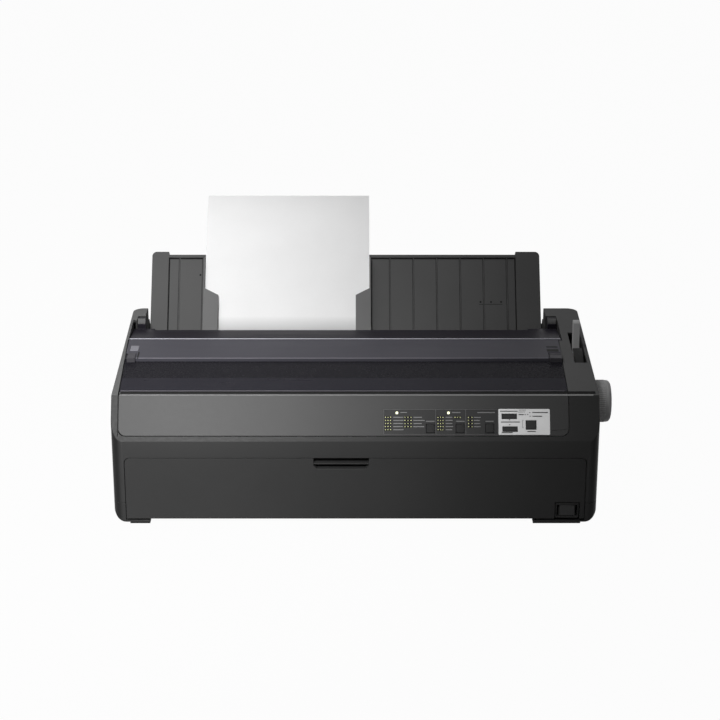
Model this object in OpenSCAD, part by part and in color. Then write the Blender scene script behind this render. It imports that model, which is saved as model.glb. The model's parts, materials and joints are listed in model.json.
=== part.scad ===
// Wide-carriage dot matrix printer: two-part case, hinged smoked covers, front flap,
// leaning paper guide with sliding edge guides, platen, carriage, tractors and controls.
// X runs across the machine, Y to the back, Z up.

/* [Case] */
// Width of the case over its sides
case_w = 560; // [520:1:640]
// Depth of the case from the front face to the back wall
case_d = 345; // [335:1:380]
// Wall thickness of the case mouldings
wall = 3; // [2.5:0.1:3.5]
// Radius of the upright corners of the case
corner_r = 13; // [8:1:16]
// Radius of the lower side edges
side_r = 15; // [8:1:18]
// Height of the joint between lower and upper case
split_h = 26; // [22:1:30]
// Height of the rubber feet under the case
foot_h = 2; // [1.5:0.1:4]
// Height of the top of the upright front face
fascia_h = 102.5; // [98:0.5:106]
// Depth of the sloping front face
slope_d = 26.5; // [24:0.5:30]
// Rise of the sloping front face
slope_rise = 47; // [44:0.5:50]
// Height of the two rear humps
hump_h = 171; // [170:0.5:176]
// Depth of the low deck behind the humps
deck_d = 67; // [63:1:69]
// Height of the low deck behind the humps
deck_h = 128; // [124:0.5:129]

/* [Front flap] */
// Width of the case at each side of the front flap
flap_side = 15; // [13:1:40]
// Height of the top edge of the front flap
flap_top = 81.7; // [76:0.1:86]
// Thickness of the flap and cover mouldings
skin = 2.5; // [2:0.1:3]
// Width of the finger recess
recess_w = 63.5; // [50:0.5:90]
// Middle of the finger recess from the middle of the case
recess_x = -16.2; // [-60:0.1:60]
// Height of the finger recess
recess_h = 13; // [11.5:0.1:16]

/* [Covers] */
// Width of the case left of the window cover
side_left = 8.6; // [8.4:0.1:18]
// Width of the housing right of the window cover
side_right = 35.6; // [35:0.1:44]
// Front edge of the window cover
window_y = 37; // [34:0.5:42]
// Radius of the cover hinge pins
cover_pin_r = 2; // [1.5:0.1:2.5]
// Width of the left hinge clip of the window
clip_left_w = 10; // [8:0.5:14]
// Width of the right hinge clip of the window
clip_right_w = 14.4; // [10:0.5:16]

/* [Paper guide] */
// Lean of the paper guide from level, in degrees
guide_lean = 55; // [50:1:60]
// Length of the paper guide plate
guide_len = 101.8; // [85:0.1:120]
// Distance from the case's left side to the paper guide
guide_side_left = 19; // [19:0.5:30]
// Distance from the case's right side to the paper guide
guide_side_right = 43.4; // [43.4:0.1:52]
// Width of the left side arm
arm_left_w = 21.5; // [16:0.5:26]
// Width of the right side arm
arm_right_w = 30.7; // [24:0.1:36]
// Depth of the side arms
arm_t = 13; // [11:0.5:13.5]
// Spacing of the ribs on the guide plate
rib_pitch = 30; // [20:1:40]

/* [Paper] */
// Width of the sheet
sheet_w = 210; // [148:1:216]
// Middle of the sheet from the middle of the case
sheet_x = -87; // [-95:1:-80]
// Thickness that stands for the sheet
sheet_t = 0.3; // [0.2:0.05:0.4]
// Length of the sheet above the paper guide
sheet_above = 94; // [60:1:120]

/* [Platen and feed] */
// Platen axis from the front face
platen_y = 130; // [128:0.5:132]
// Height of the platen axis
platen_z = 102.3; // [101:0.1:104]
// Radius of the platen
platen_r = 18; // [16:0.1:18.2]
// Radius of the platen shaft
shaft_r = 6; // [4:0.1:7]
// Radius of the platen knob
knob_r = 25.6; // [20:0.1:30]
// Length of the platen knob
knob_len = 25.6; // [18:0.1:32]
// Gear module
gear_m = 1.25; // [1.2:0.05:1.3]
// Width of the gears
gear_w = 8; // [6:0.5:8.5]

/* [Carriage] */
// Radius of the carriage shaft
guide_shaft_r = 6; // [4:0.1:7]
// Width of the carriage
carriage_w = 40; // [34:1:46]
// Radius of the belt pulleys
pulley_r = 8; // [6:0.1:9]
// Height of the carriage belt
belt_h = 6; // [4:0.1:7]

/* [Controls] */
// Width of the dark select buttons
select_w = 9.4; // [8:0.1:10]
// Height of the dark select buttons up the slope
select_h = 10.2; // [8:0.1:11]
// Travel of the panel buttons
button_travel = 1; // [0.5:0.1:1.2]
// Thickness of the release lever
lever_w = 8.2; // [6:0.1:9]
// Height of the release lever tip
lever_tip_h = 193; // [185:0.5:200]

/* [Hidden] */
$fn = 48;

// small distances
gap = 0.4;          // seam between neighbouring mouldings
run = 0.05;         // radial clearance of a running shaft
slip = 0.3;         // clearance of sliding and parked parts

// case outline
half_w = case_w / 2;
hump_y = case_d - deck_d;        // back face of the humps
flap_w = case_w - 2 * flap_side;
crease = [slope_d, fascia_h + slope_rise];
slope_len = norm([slope_d, slope_rise]);
slope_angle = atan2(slope_rise, slope_d);
hump_flat = 16;     // level top of a hump, front to back
top_rise = (hump_h - crease.y) / (hump_y - hump_flat - crease.x);
profile = [[0, foot_h], [0, fascia_h], crease, [hump_y - hump_flat, hump_h], [hump_y, hump_h],
    [hump_y, deck_h], [case_d, deck_h], [case_d, foot_h]];
floor_z = foot_h + wall;
function top_z(y) = crease.y + (y - crease.x) * top_rise;

// covers
window_left = -half_w + side_left;
window_right = half_w - side_right;
lip_y = 120;                     // front lip of the rear cover
lip_z = top_z(lip_y) + 2.66;     // top of that lip
lip_foot = lip_z - 7.3;
crest = [181, lip_z + 2.9];      // crest line of the rear cover
strip_end = [hump_y - 41.5, lip_z - 3];  // back edge of the rear cover at its ends
strip_notch = [-half_w + 30, half_w - 65];       // where the back edge is cut shorter
strip_notch_d = 7;
window_back = lip_y - 2;
window_z0 = top_z(window_y) - 0.2;
window_z1 = top_z(window_back) - 0.4;
rear_left = -half_w + 4.2;
rear_right = half_w - 29;
flare_left = 0.032;
flare_right = 0.021;
step_y = crest.x - 3;            // where the opening steps out on the right
clip_axis = [lip_y + 10, lip_z - 2.2];   // window hinge
clip_r = 4.6;
clip_left = [left_edge(lip_y), left_edge(lip_y) + clip_left_w];
clip_right = [right_edge(lip_y) - clip_right_w, right_edge(lip_y)];
ear_axis = [hump_y - 35, lip_z + 3.5];   // rear cover hinge
ear_r = 6;
ear_left = [-half_w + 8.4, -half_w + 18.2];
ear_right = [half_w - 40.3, half_w - 29.4];
ear_pin_r = 2.5;
skirt_t = 2.4;                   // inner wall round the top opening
skirt_foot = 140;

// front flap
flap_bottom = 6;
flap_axis = [4.5, 12];
flap_r = 6;
flap_lug_r = 3.9;
flap_pin_r = 2;
block_top = 3.8;
block_left = [-flap_w / 2, -flap_w / 2 + 27];
block_right = [flap_w / 2 - 59, flap_w / 2];
sill_y = 14;                     // front edge of the floor between the blocks

// control panel, in the plane of the slope: x across, y up the slope
panel_s0 = 6.5;
panel_r = 9;
panel_flange_y = window_y - 1;
label_t = 0.25;
label_end = window_right - 21.8; // right end of the labels
select_area = [[label_end - 190.8, 8], [label_end - 60.3, 37.8]];
silver_area = [[label_end - 58.8, 8], [label_end, 37.8]];
button_proud = 1.2;
select_x = [label_end - 136.9, label_end - 102.8, label_end - 68.9];
select_s = 15.3;
load_at = [label_end - 46.5, 29.3];
feed_at = [label_end - 45.7, 14.5];
pause_at = [label_end - 21.6, 19.3];
wide_size = [16.6, 5.4];
pause_size = [11.4, 10];
lamp_at = [[label_end - 175, 33.3], [label_end - 116, 33.3]];
lamp_r = 1.5;
board_z = -9.4;                  // top of the button board under the panel
board_t = 1.6;
switch_h = 3.3;

// power rocker in the front flap's lower right corner
rocker_x = flap_w / 2 - 19.9;
rocker_w = 20.6;
rocker_z = [9.6, 23];
rocker_axis_y = 8;
boss_x = [flap_w / 2 - 33.4, flap_w / 2 - 6.4];
boss_z = [7, 25.6];

// paper guide and sheet
guide_left = -half_w + guide_side_left;
guide_right = half_w - guide_side_right;
guide_base = [hump_y + 0.8, deck_h + 11.8];  // front of the guide plate at its foot
guide_t = 3.5;
guide_pin_r = 3;
guide_proud = 2;
arm_len = guide_len + 4;
arm_round = 6;
guide_room = [guide_left - 1.3, guide_right + 1.6];
guide_pivot = [guide_base.x + arm_t / 2 * sin(guide_lean), guide_base.y - arm_t / 2 * cos(guide_lean)];
plate_left = guide_left + arm_left_w;
plate_right = guide_right - arm_right_w;
rib_h = 0.8;
bracket_t = 4.2;
bracket_top = 154;
edge_base_t = 1.5;
edge_base_w = 26;
edge_wall = 1.6;
edge_gap = 6;                    // clear height over the sheet under a wing
wing_w = 19.5;
wing_top = [55.3, 45.2];         // wing height at its outer and inner side
sheet_z = rib_h + slip + edge_base_t + slip + sheet_t / 2;
sheet_l = sheet_x - sheet_w / 2;
sheet_r = sheet_x + sheet_w / 2;

// sheet path, from its lower end to its upper end
bend_r = 60;                     // bend into the chute
bend_run = 23.4;                 // level stretch in the chute
straight_below = 20;
curl_turn = 32;                  // the sheet's droop above the guide, in degrees
curl_r = sheet_above / (curl_turn * PI / 180);
function turn(p, a) = [p.x * cos(a) - p.y * sin(a), p.x * sin(a) + p.y * cos(a)];
function along_guide(t, z) = guide_base + turn([t, z], guide_lean);
bend_top = along_guide(-straight_below, sheet_z);
bend_mid = bend_top + bend_r * turn([0, 1], guide_lean);
curl_top = along_guide(guide_len, sheet_z);
curl_mid = curl_top + curl_r * turn([0, -1], guide_lean);
bend_steps = 8;
curl_steps = 8;
sheet_path = concat(
    [bend_mid + [-bend_run, -bend_r]],
    [for (i = [0 : bend_steps]) bend_mid + bend_r * turn([0, -1], guide_lean * i / bend_steps)],
    [for (i = [0 : curl_steps]) curl_mid + curl_r * turn([0, 1], guide_lean - curl_turn * i / curl_steps)]);
sheet_end = sheet_path[len(sheet_path) - 1];

// place of the part's origin: middle of its bounding box, on the surface it stands on
knob_x0 = half_w + 1;
origin_x = (knob_x0 + knob_len - half_w) / 2;
origin_y = (sheet_end.x + sheet_t / 2) / 2;

// frames and shafts
frame_left = -half_w + 32;
frame_right = half_w - 64;
frame_t = 2;
frame_span = [frame_left + frame_t, frame_right];
platen_x = [frame_left + 12, frame_right - 6];
platen_at = [platen_y, platen_z];
bush_r = 9;
frame_outline = [[38, floor_z], [300, floor_z], [300, 60], [262, 108], [160, 128], [100, 128], [38, 116]];
tie_size = 14;

// gear train outside the right frame
gear_x = frame_right + frame_t + 4;
platen_teeth = 40;
pinion_teeth = 16;
idler_teeth = 52;
tractor_teeth = 20;
pinion_dir = -120;
idler_dir = -14;
tractor_dir = -13;
function pitch_r(teeth) = gear_m * teeth / 2;
function polar(r, a) = [r * cos(a), r * sin(a)];
pinion_at = platen_at + polar(pitch_r(platen_teeth) + pitch_r(pinion_teeth), pinion_dir);
idler_at = platen_at + polar(pitch_r(platen_teeth) + pitch_r(idler_teeth), idler_dir);
tractor_at = idler_at + polar(pitch_r(idler_teeth) + pitch_r(tractor_teeth), tractor_dir);
// turn of a driven gear that puts its gap on the driver's tooth
function meshed(own, driver, dir, driver_turn) =
    dir + 180 - (driver_turn - dir) * driver / own + 180 / own;
pinion_turn = meshed(pinion_teeth, platen_teeth, pinion_dir, 0);
idler_turn = meshed(idler_teeth, platen_teeth, idler_dir, 0);
tractor_turn = meshed(tractor_teeth, idler_teeth, tractor_dir, idler_turn);

// tractors
journal_r = 4;
square_w = 6;
rail_r = 4;
rail_at = tractor_at + [23, -2];
tractor_w = 18;
tractor_left_x = frame_left + 43;
tractor_right_x = frame_right - 41;
sprocket_r = 9;
sprocket_w = 7;

// carriage and head
guide_shaft_at = [90, 74];
carriage_x = frame_left + 70;
carriage_top = 86;
head_r = 15;
rail_top = 53.6;
rail_plate = 1.6;
pulley_y = 56;
drive_x = frame_left + 22;
return_x = frame_right - 20;
belt_z = 56;
belt_t = 1.2;
motor_r = 18;
belt_motor_r = 14;
ribbon_y = platen_y - platen_r - 3;
nose_y = ribbon_y - slip;
ribbon_t = 0.4;
cartridge_x = [frame_left + 16, frame_right - 8];
cartridge_y = [40, 68];
cartridge_z = [104, 122];
band_z = [97, 107.5];
arm_in = [cartridge_x[0] + 26, cartridge_x[1] - 26];

// levers
lever_at = [158, 110];
lever_x = half_w - 13;
lever_back = 5.5;                // backward lean of the lever, in degrees
sector_r = 47;
sector_turn = 48;
slot_x = [half_w - 19.1, half_w - 4.8];
slot_y = [114, 200];
gap_lever_len = 58;

axle_r = 2.5;
stud_r = 4;
lever_pin_r = 3;
press_r = 3;
press_roll_r = 5.7;
press_len = 30;
press_step = (frame_right - frame_left - 124) / 4;
press_at = [platen_y, platen_z - platen_r - press_roll_r - slip];
knob_at = [cartridge_x[0] + 20, 54];

// screws, brackets and small fittings of the case
screw_at = [for (x = [-half_w + 8, half_w - 8], y = [30, case_d - 30]) [x, y]];
screw_r = 1.6;
screw_seat = 12;
boss_r = 6;
bracket_w = 5.5;
rocker_back = 19;
recess_d = 11;
panel_posts = [for (x = [label_end - 192.6, label_end + 7.4], s = [14, 34]) [x, s]];
edge_gap_x = 0.4;
chute_y0 = 152;
chute_gap = 2;

// electronics
board_x = [-half_w + 144, half_w - 75];
board_y = [case_d - 160, case_d - 9];
board_top = 31.6;
supply_x = [-half_w + 38, -half_w + 130];
supply_y = [case_d - 155, case_d - 11];
supply_h = 56;
board_posts = [[board_x[0] + 12, board_x[1] - 12], [board_y[0] + 10, board_y[1] - 20]];
inlet_x = [supply_x[0] + 12, supply_x[0] + 42];
inlet_z = [28, 50];
ports = [[[board_x[1] - 87, board_x[1] - 31], 13], [[board_x[1] - 15, board_x[1] - 2], 12]];

// ---------- helpers ----------

// the range that reaches d to both sides of c
function about(c, d) = [c - d, c + d];

// a block from ranges [low, high] along x, y and z
module block(x, y, z) {
    translate([x[0], y[0], z[0]]) cube([x[1] - x[0], y[1] - y[0], z[1] - z[0]]);
}

// extrudes a (y, z) outline along x
module along_x(x0, x1) {
    translate([x0, 0, 0]) rotate([90, 0, 90]) linear_extrude(x1 - x0) children();
}

// a round bar along x about the (y, z) point at
module rod(x0, x1, r, at) {
    translate([x0, at.x, at.y]) rotate([0, 90, 0]) cylinder(h = x1 - x0, r = r);
}

// a flat rectangle with round corners
module soft_rect(p, q, r) {
    translate([p.x + r, p.y]) square([q.x - p.x - 2 * r, q.y - p.y]);
    translate([p.x, p.y + r]) square([q.x - p.x, q.y - p.y - 2 * r]);
    for (x = [p.x + r, q.x - r], y = [p.y + r, q.y - r]) translate([x, y]) circle(r);
}

// puts a model drawn from the front face's middle into the part's own frame
module place() {
    translate([-origin_x, -origin_y, 0]) children();
}

// the sloping front face: x across, y up the slope, z out of it
module on_slope() {
    translate([0, 0, fascia_h]) rotate([slope_angle, 0, 0]) children();
}

// the paper guide's face: x across, y up the guide, z out of its front
module on_guide() {
    translate([0, guide_base.x, guide_base.y]) rotate([guide_lean, 0, 0]) children();
}

// corner i of a clockwise outline moved inwards by w
function unit(v) = v / norm(v);
function inset_corner(a, b, c, w) =
    let (u = unit(b - a), v = unit(c - b), n = [u.y, -u.x], m = [v.y, -v.x])
    b + w * (n + m) / (1 + n * m);
function inset(p, w) =
    [for (i = [0 : len(p) - 1]) inset_corner(p[(i + len(p) - 1) % len(p)], p[i], p[(i + 1) % len(p)], w)];

// the whole case as one solid, drawn in by w all round
module case_form(w) {
    intersection() {
        along_x(-half_w + w, half_w - w) polygon(inset(profile, w));
        union() {
            linear_extrude(deck_h - w)
                soft_rect([-half_w + w, w], [half_w - w, case_d - w], corner_r - w);
            translate([0, 0, deck_h - w - 1]) linear_extrude(hump_h)
                soft_rect([-half_w + w, w], [half_w - w, hump_y - w], corner_r - w);
        }
        translate([0, case_d, 0]) rotate([90, 0, 0]) linear_extrude(case_d)
            soft_rect([-half_w + w, foot_h + w], [half_w - w, 2 * hump_h], side_r - w);
    }
}

// edges of the cover opening, which widens a little towards the back
function left_edge(y) = window_left - flare_left * (y - crease.x);
function right_edge(y) = window_right + flare_right * (y - crease.x);

// outline of the opening that the covers lie in, grown by g
module top_opening(g) {
    polygon([[left_edge(crease.x) - gap - g, crease.x - 6], [right_edge(crease.x) + gap + g, crease.x - 6],
        [right_edge(step_y) + gap + g, step_y], [left_edge(step_y) - gap - g, step_y]]);
    translate([rear_left - gap - g, step_y - 1 - g])
        square([rear_right - rear_left + 2 * gap + 2 * g, ear_axis.x - ear_r - step_y + 1 + g]);
    translate([ear_left[0] - gap - g, step_y])
        square([ear_right[1] - ear_left[0] + 2 * gap + 2 * g, ear_axis.x + ear_r + 1 - step_y + g]);
    translate([guide_room[0] - g, step_y])
        square([guide_room[1] - guide_room[0] + 2 * g, case_d - step_y]);
}

// outline of the opening for the front flap, in (x, z)
module flap_opening(g) {
    translate([-flap_w / 2 - g, -1]) square([flap_w + 2 * g, flap_top / 2]);
    soft_rect([-flap_w / 2 - g, 0], [flap_w / 2 + g, flap_top + g], flap_r);
}

module along_y(y0, y1) {
    translate([0, y1, 0]) rotate([90, 0, 0]) linear_extrude(y1 - y0) children();
}

// outline of the control panel on the slope, grown by g
module panel_outline(g) {
    soft_rect([window_left - g, panel_s0 - g], [window_right + g, slope_len - 2], panel_r);
    translate([window_left - g, slope_len / 2])
        square([window_right - window_left + 2 * g, slope_len / 2]);
}

// involute gear outline with a tooth centred on x
function inv_angle(r, rb) = let (a = sqrt(max(0, pow(r / rb, 2) - 1))) a * 180 / PI - atan(a);
function half_tooth(r, rb, rp, teeth) =
    90 / teeth - 0.9 * 4 / teeth + inv_angle(rp, rb) - inv_angle(r, rb);
module gear_outline(teeth) {
    rp = pitch_r(teeth);
    rb = rp * cos(20);
    tip = rp + 0.9 * gear_m;
    root = rp - 1.15 * gear_m;
    low = max(rb, root);
    radii = [low, (low + 2 * rp) / 3, (rp + tip) / 2, tip];
    polygon([for (i = [0 : teeth - 1]) each concat(
        [polar(root, 360 * i / teeth - half_tooth(low, rb, rp, teeth))],
        [for (r = radii) polar(r, 360 * i / teeth - half_tooth(r, rb, rp, teeth))],
        [for (k = [3 : -1 : 0]) polar(radii[k], 360 * i / teeth + half_tooth(radii[k], rb, rp, teeth))],
        [polar(root, 360 * i / teeth + half_tooth(low, rb, rp, teeth))])]);
}

// a gear across x about the (y, z) point at
module gear(teeth, at, spin, bore) {
    translate([gear_x, at.x, at.y]) rotate([90, 0, 90]) linear_extrude(gear_w) difference() {
        rotate(spin) gear_outline(teeth);
        circle(bore);
    }
}

// a rectangle of size s about c, grown by g
module key_outline(c, s, g) {
    translate([c.x - s.x / 2 - g, c.y - s.y / 2 - g]) square([s.x + 2 * g, s.y + 2 * g]);
}

module all_keys(g) {
    for (x = select_x) key_outline([x, select_s], [select_w, select_h], g);
    key_outline(load_at, wide_size, g);
    key_outline(feed_at, wide_size, g);
    key_outline(pause_at, pause_size, g);
}

// a panel button: cap, flange under the panel, and the stem that meets its switch
module key(c, s) {
    place() on_slope() {
        translate([0, 0, -3.9]) linear_extrude(3.9 + button_proud) key_outline(c, s, -slip / 2);
        translate([0, 0, -3.9]) linear_extrude(1) key_outline(c, s, 1);
        translate([c.x, c.y, board_z + switch_h + button_travel + 0.1])
            cylinder(h = -3.5 - (board_z + switch_h + button_travel + 0.1), r = 1.2);
    }
}

// ---------- case ----------

module lower_case() place() color("#2c2c2e") {
    difference() {
        union() {
            difference() {
                case_form(0);
                case_form(wall);
                block([-case_w, case_w], [-1, case_d + 1], [split_h, 2 * hump_h]);
                block([-flap_w / 2 - gap, flap_w / 2 + gap], [-1, sill_y], [block_top, split_h + 1]);
                block([block_left[1], block_right[0]], [-1, sill_y], [0, floor_z + 1]);
            }
            intersection() {
                case_form(wall / 2);
                union() {
                    for (p = screw_at)
                        translate([p.x, p.y, foot_h + 1]) cylinder(h = split_h - foot_h - 1, r = boss_r);
                    for (side = [-1, 1]) scale([side, 1, 1])
                        block([flap_w / 2 + gap, flap_w / 2 + bracket_w], [0, sill_y],
                            [foot_h + 1, split_h - 5]);
                }
            }
            for (x = board_posts.x, y = board_posts.y)
                translate([x, y, floor_z - 1]) cylinder(h = board_top - board_t - floor_z + 1, r = 3);
            block(boss_x, [gap, rocker_back + wall], boss_z);
            block(boss_x, [sill_y, rocker_back + wall], [floor_z - 1, boss_z[1]]);
        }
        for (p = screw_at) {
            translate([p.x, p.y, 0]) cylinder(h = split_h + 1, r = screw_r);
            translate([p.x, p.y, 0]) cylinder(h = screw_seat, r = 4);
        }
        for (side = [-1, 1]) scale([side, 1, 1])
            rod(flap_w / 2 - 1, flap_w / 2 + bracket_w + 1, flap_pin_r + run, flap_axis);
        block([rocker_x - rocker_w / 2 - 1.6, rocker_x + rocker_w / 2 + 1.6], [-1, rocker_back],
            [rocker_z[0] - slip, rocker_z[1] + slip]);
    }
}

module upper_case() place() color("#3a3a3c") {
    difference() {
        union() {
            difference() {
                case_form(0);
                case_form(wall);
            }
            intersection() {
                case_form(0);
                translate([0, 0, skirt_foot]) linear_extrude(hump_h) difference() {
                    top_opening(skirt_t);
                    top_opening(0);
                }
            }
            intersection() {
                case_form(wall / 2);
                for (p = screw_at) translate([p.x, p.y, split_h]) cylinder(h = 16, r = boss_r);
            }
            for (x = [guide_room[0] - bracket_t, guide_room[1]]) along_x(x, x + bracket_t) {
                translate([guide_pivot.x - 8, deck_h - 1]) square([16, bracket_top - deck_h - 7]);
                translate([guide_pivot.x, bracket_top - 8]) circle(8);
            }
        }
        block([-case_w, case_w], [-1, case_d + 1], [-1, split_h]);
        translate([0, 0, deck_h]) linear_extrude(hump_h) top_opening_without_brackets();
        on_slope() translate([0, 0, -wall - 2]) linear_extrude(wall + 4) panel_outline(gap);
        along_y(-1, wall + 1) flap_opening(gap);
        block(slot_x, slot_y, [skirt_foot, hump_h + 1]);
        rod(half_w - wall - 1, half_w + 1, shaft_r + 1.5, platen_at);
        for (p = screw_at) translate([p.x, p.y, split_h - 1]) cylinder(h = 14, r = screw_r);
        rod(ear_left[0] - gap - 3.2, ear_left[0], ear_pin_r + run, ear_axis);
        rod(ear_right[1], ear_right[1] + 6, ear_pin_r + run, ear_axis);
        for (x = [guide_room[0] - bracket_t, guide_room[1]])
            rod(x - 1, x + bracket_t + 1, guide_pin_r + run, guide_pivot);
        block(inlet_x + [-slip, slip], [case_d - wall - 1, case_d + 1], inlet_z + [-slip, slip]);
        for (p = ports) block(p[0] + [-slip, slip], [case_d - wall - 1, case_d + 1],
            [board_top - slip, board_top + p[1] + slip]);
    }
}

// the cover opening up to the guide's brackets, which stand on the deck
module top_opening_without_brackets() {
    intersection() {
        top_opening(0);
        translate([-case_w, 0]) square([2 * case_w, hump_y]);
    }
}

module control_panel() place() color("#4a4a4c") {
    difference() {
        union() {
            on_slope() translate([0, 0, -skin]) linear_extrude(skin) panel_outline(0);
            along_x(window_left, window_right) polygon([crease, [panel_flange_y, top_z(panel_flange_y)],
                [panel_flange_y, top_z(panel_flange_y) - skin], [crease.x + 1, crease.y - skin]]);
            on_slope() for (p = panel_posts)
                translate([p.x, p.y, board_z]) cylinder(h = -board_z - skin / 2, r = 2.5);
        }
        on_slope() translate([0, 0, -skin - 1]) linear_extrude(skin + 2) {
            all_keys(slip / 2);
            for (p = lamp_at) translate(p) circle(lamp_r + 0.1);
        }
    }
}

module label(area) {
    on_slope() linear_extrude(label_t) difference() {
        soft_rect(area[0], area[1], 1.2);
        all_keys(0.5);
        for (p = lamp_at) translate(p) circle(lamp_r + 0.1);
    }
}
module select_label() place() color("#3c3c3e") label(select_area);
module silver_label() place() color("#a5a5a8") label(silver_area);

module panel_board() place() color("#1f5a38") {
    on_slope() {
        translate([0, 0, board_z - board_t]) linear_extrude(board_t)
            translate([label_end - 198.6, 6]) square([212, 34]);
        for (p = concat([for (x = select_x) [x, select_s]], [load_at, feed_at, pause_at]))
            translate([p.x - 3, p.y - 3, board_z]) cube([6, 6, switch_h]);
    }
}

module status_lamps() place() color("#d8f0a0") {
    on_slope() for (p = lamp_at)
        translate([p.x, p.y, board_z]) cylinder(h = label_t + 0.5 - board_z, r = lamp_r);
}

module select_button_left() color("#2a2a2c") key([select_x[0], select_s], [select_w, select_h]);
module select_button_middle() color("#2a2a2c") key([select_x[1], select_s], [select_w, select_h]);
module select_button_right() color("#2a2a2c") key([select_x[2], select_s], [select_w, select_h]);
module load_button() color("#3a3a3c") key(load_at, wide_size);
module feed_button() color("#3a3a3c") key(feed_at, wide_size);
module pause_button() color("#3a3a3c") key(pause_at, pause_size);

// ---------- front flap ----------

module front_flap() place() color("#343436") {
    rx = [recess_x - recess_w / 2, recess_x + recess_w / 2];
    rz = [flap_top - recess_h, flap_top + 1];
    difference() {
        union() {
            along_y(0, skin) intersection() {
                flap_opening(0);
                translate([-half_w, flap_bottom]) square([case_w, flap_top]);
            }
            block(rx + [-2, 2], [skin / 2, recess_d + 2], [rz[0] - 2, flap_top - 2.2]);
            for (side = [-1, 1]) scale([side, 1, 1]) {
                rod(flap_w / 2 - 6, flap_w / 2, flap_lug_r, flap_axis);
                rod(flap_w / 2 - 6, flap_w / 2 + bracket_w - 1, flap_pin_r, flap_axis);
            }
        }
        along_y(-1, recess_d) polygon([[rx[0], rz[1]], [rx[0], rz[0] + 4], [rx[0] + 4, rz[0]],
            [rx[1] - 4, rz[0]], [rx[1], rz[0] + 4], [rx[1], rz[1]]]);
        block(boss_x + [-0.8, 0.8], [-1, 10], [flap_bottom - 1, boss_z[1] + 0.9]);
    }
    block(rx + [-0.5, 0.5], [0.6, recess_d + 0.5], [rz[0] + 5.4, rz[0] + 6.8]);
}

module power_rocker() place() color("#242426") {
    intersection() {
        block([rocker_x - rocker_w / 2, rocker_x + rocker_w / 2], [1, rocker_back - 4], rocker_z);
        translate([rocker_x, rocker_axis_y, 0]) cylinder(h = split_h, r = rocker_w / 2 + 0.6);
    }
}

// ---------- covers ----------

module window_cover() place() color("#2b2a30", 0.8) {
    difference() {
        union() {
            intersection() {
                along_x(-half_w, half_w) polygon([[window_y, window_z0], [window_back, window_z1],
                    [window_back, window_z1 - skin], [window_y + skin, window_z0 - skin],
                    [window_y + skin, window_z0 - 4.5], [window_y, window_z0 - 4.5]]);
                linear_extrude(2 * hump_h) polygon([[left_edge(window_y), window_y],
                    [right_edge(window_y), window_y], [right_edge(window_back), window_back],
                    [left_edge(window_back), window_back]]);
            }
            for (c = [clip_left, clip_right]) {
                block(c, [window_back - 3, clip_axis.x], [window_z1 - skin, clip_axis.y + clip_r - 1]);
                rod(c[0], c[1], clip_r, clip_axis);
            }
        }
        for (c = [clip_left, clip_right]) rod(c[0] - 1, c[1] + 1, cover_pin_r + run, clip_axis);
    }
}

module rear_cover() place() color("#3d3c42", 0.9) {
    difference() {
        intersection() {
            along_x(-half_w, half_w) polygon([[lip_y, lip_foot], [lip_y, lip_z], crest, strip_end,
                strip_end - [0, skin], crest - [0, skin], [lip_y + skin, lip_z - skin],
                [lip_y + skin, lip_foot]]);
            linear_extrude(2 * hump_h) polygon([[left_edge(lip_y), lip_y], [right_edge(lip_y), lip_y],
                [right_edge(step_y), step_y], [rear_right, step_y], [rear_right, strip_end.x],
                [strip_notch[1], strip_end.x], [strip_notch[1], strip_end.x - strip_notch_d],
                [strip_notch[0], strip_end.x - strip_notch_d], [strip_notch[0], strip_end.x],
                [rear_left, strip_end.x], [rear_left, step_y]]);
        }
        for (c = [clip_left, clip_right])
            block([c[0] - (c[0] < 0 ? 3 : gap), c[1] + (c[0] < 0 ? gap : 3)],
                [lip_y - 1, clip_axis.x + clip_r + 3.2], [lip_foot - 1, crest.y + 1]);
    }
    // hinge pins of the window, on the inner side of each clip
    for (side = [-1, 1]) {
        x = side < 0 ? clip_left[1] : clip_right[0];
        translate([x, 0, 0]) scale([-side, 1, 1]) {
            rod(slip, 4, cover_pin_r + 0.6, clip_axis);
            rod(-7, 4, cover_pin_r, clip_axis);
        }
    }
    for (e = [ear_left, ear_right]) {
        block(e, [strip_end.x - 2, ear_axis.x], [strip_end.y - skin, ear_axis.y]);
        rod(e[0], e[1], ear_r, ear_axis);
    }
    rod(ear_left[0] - gap - 2.6, ear_left[1], ear_pin_r, ear_axis);
    rod(ear_right[0], ear_right[1] + 5, ear_pin_r, ear_axis);
}

// ---------- paper guide ----------

module paper_guide() place() color("#3a3a3a") {
    on_guide() {
        translate([plate_left - 1, -4, -guide_t])
            cube([plate_right - plate_left + 2, guide_len + 4, guide_t]);
        translate([plate_left - 1, guide_len - 4, -guide_t])
            cube([plate_right - plate_left + 2, 4, guide_t + guide_proud]);
        for (k = [0 : floor((plate_right - plate_left - 13) / rib_pitch)])
            translate([plate_left + 13.5 + k * rib_pitch, 2, -1]) cube([1.2, guide_len - 5, 1 + rib_h]);
        translate([0, 0, -arm_t]) linear_extrude(arm_t + guide_proud) {
            translate([guide_left, 0]) arm_outline(arm_left_w);
            translate([guide_right, 0]) scale([-1, 1]) arm_outline(arm_right_w);
        }
    }
    rod(guide_left, plate_left + 2, arm_t / 2 - slip, guide_pivot);
    rod(plate_right - 2, guide_right, arm_t / 2 - slip, guide_pivot);
    rod(guide_room[0] - bracket_t, plate_left, guide_pin_r, guide_pivot);
    rod(plate_right, guide_room[1] + bracket_t, guide_pin_r, guide_pivot);
}

// a side arm w wide, with its upper outer corner round
module arm_outline(w) {
    square([w, arm_len - arm_round]);
    translate([arm_round, arm_len - arm_round - 1]) square([w - arm_round, arm_round + 1]);
    translate([arm_round, arm_len - arm_round]) circle(arm_round);
}

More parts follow.
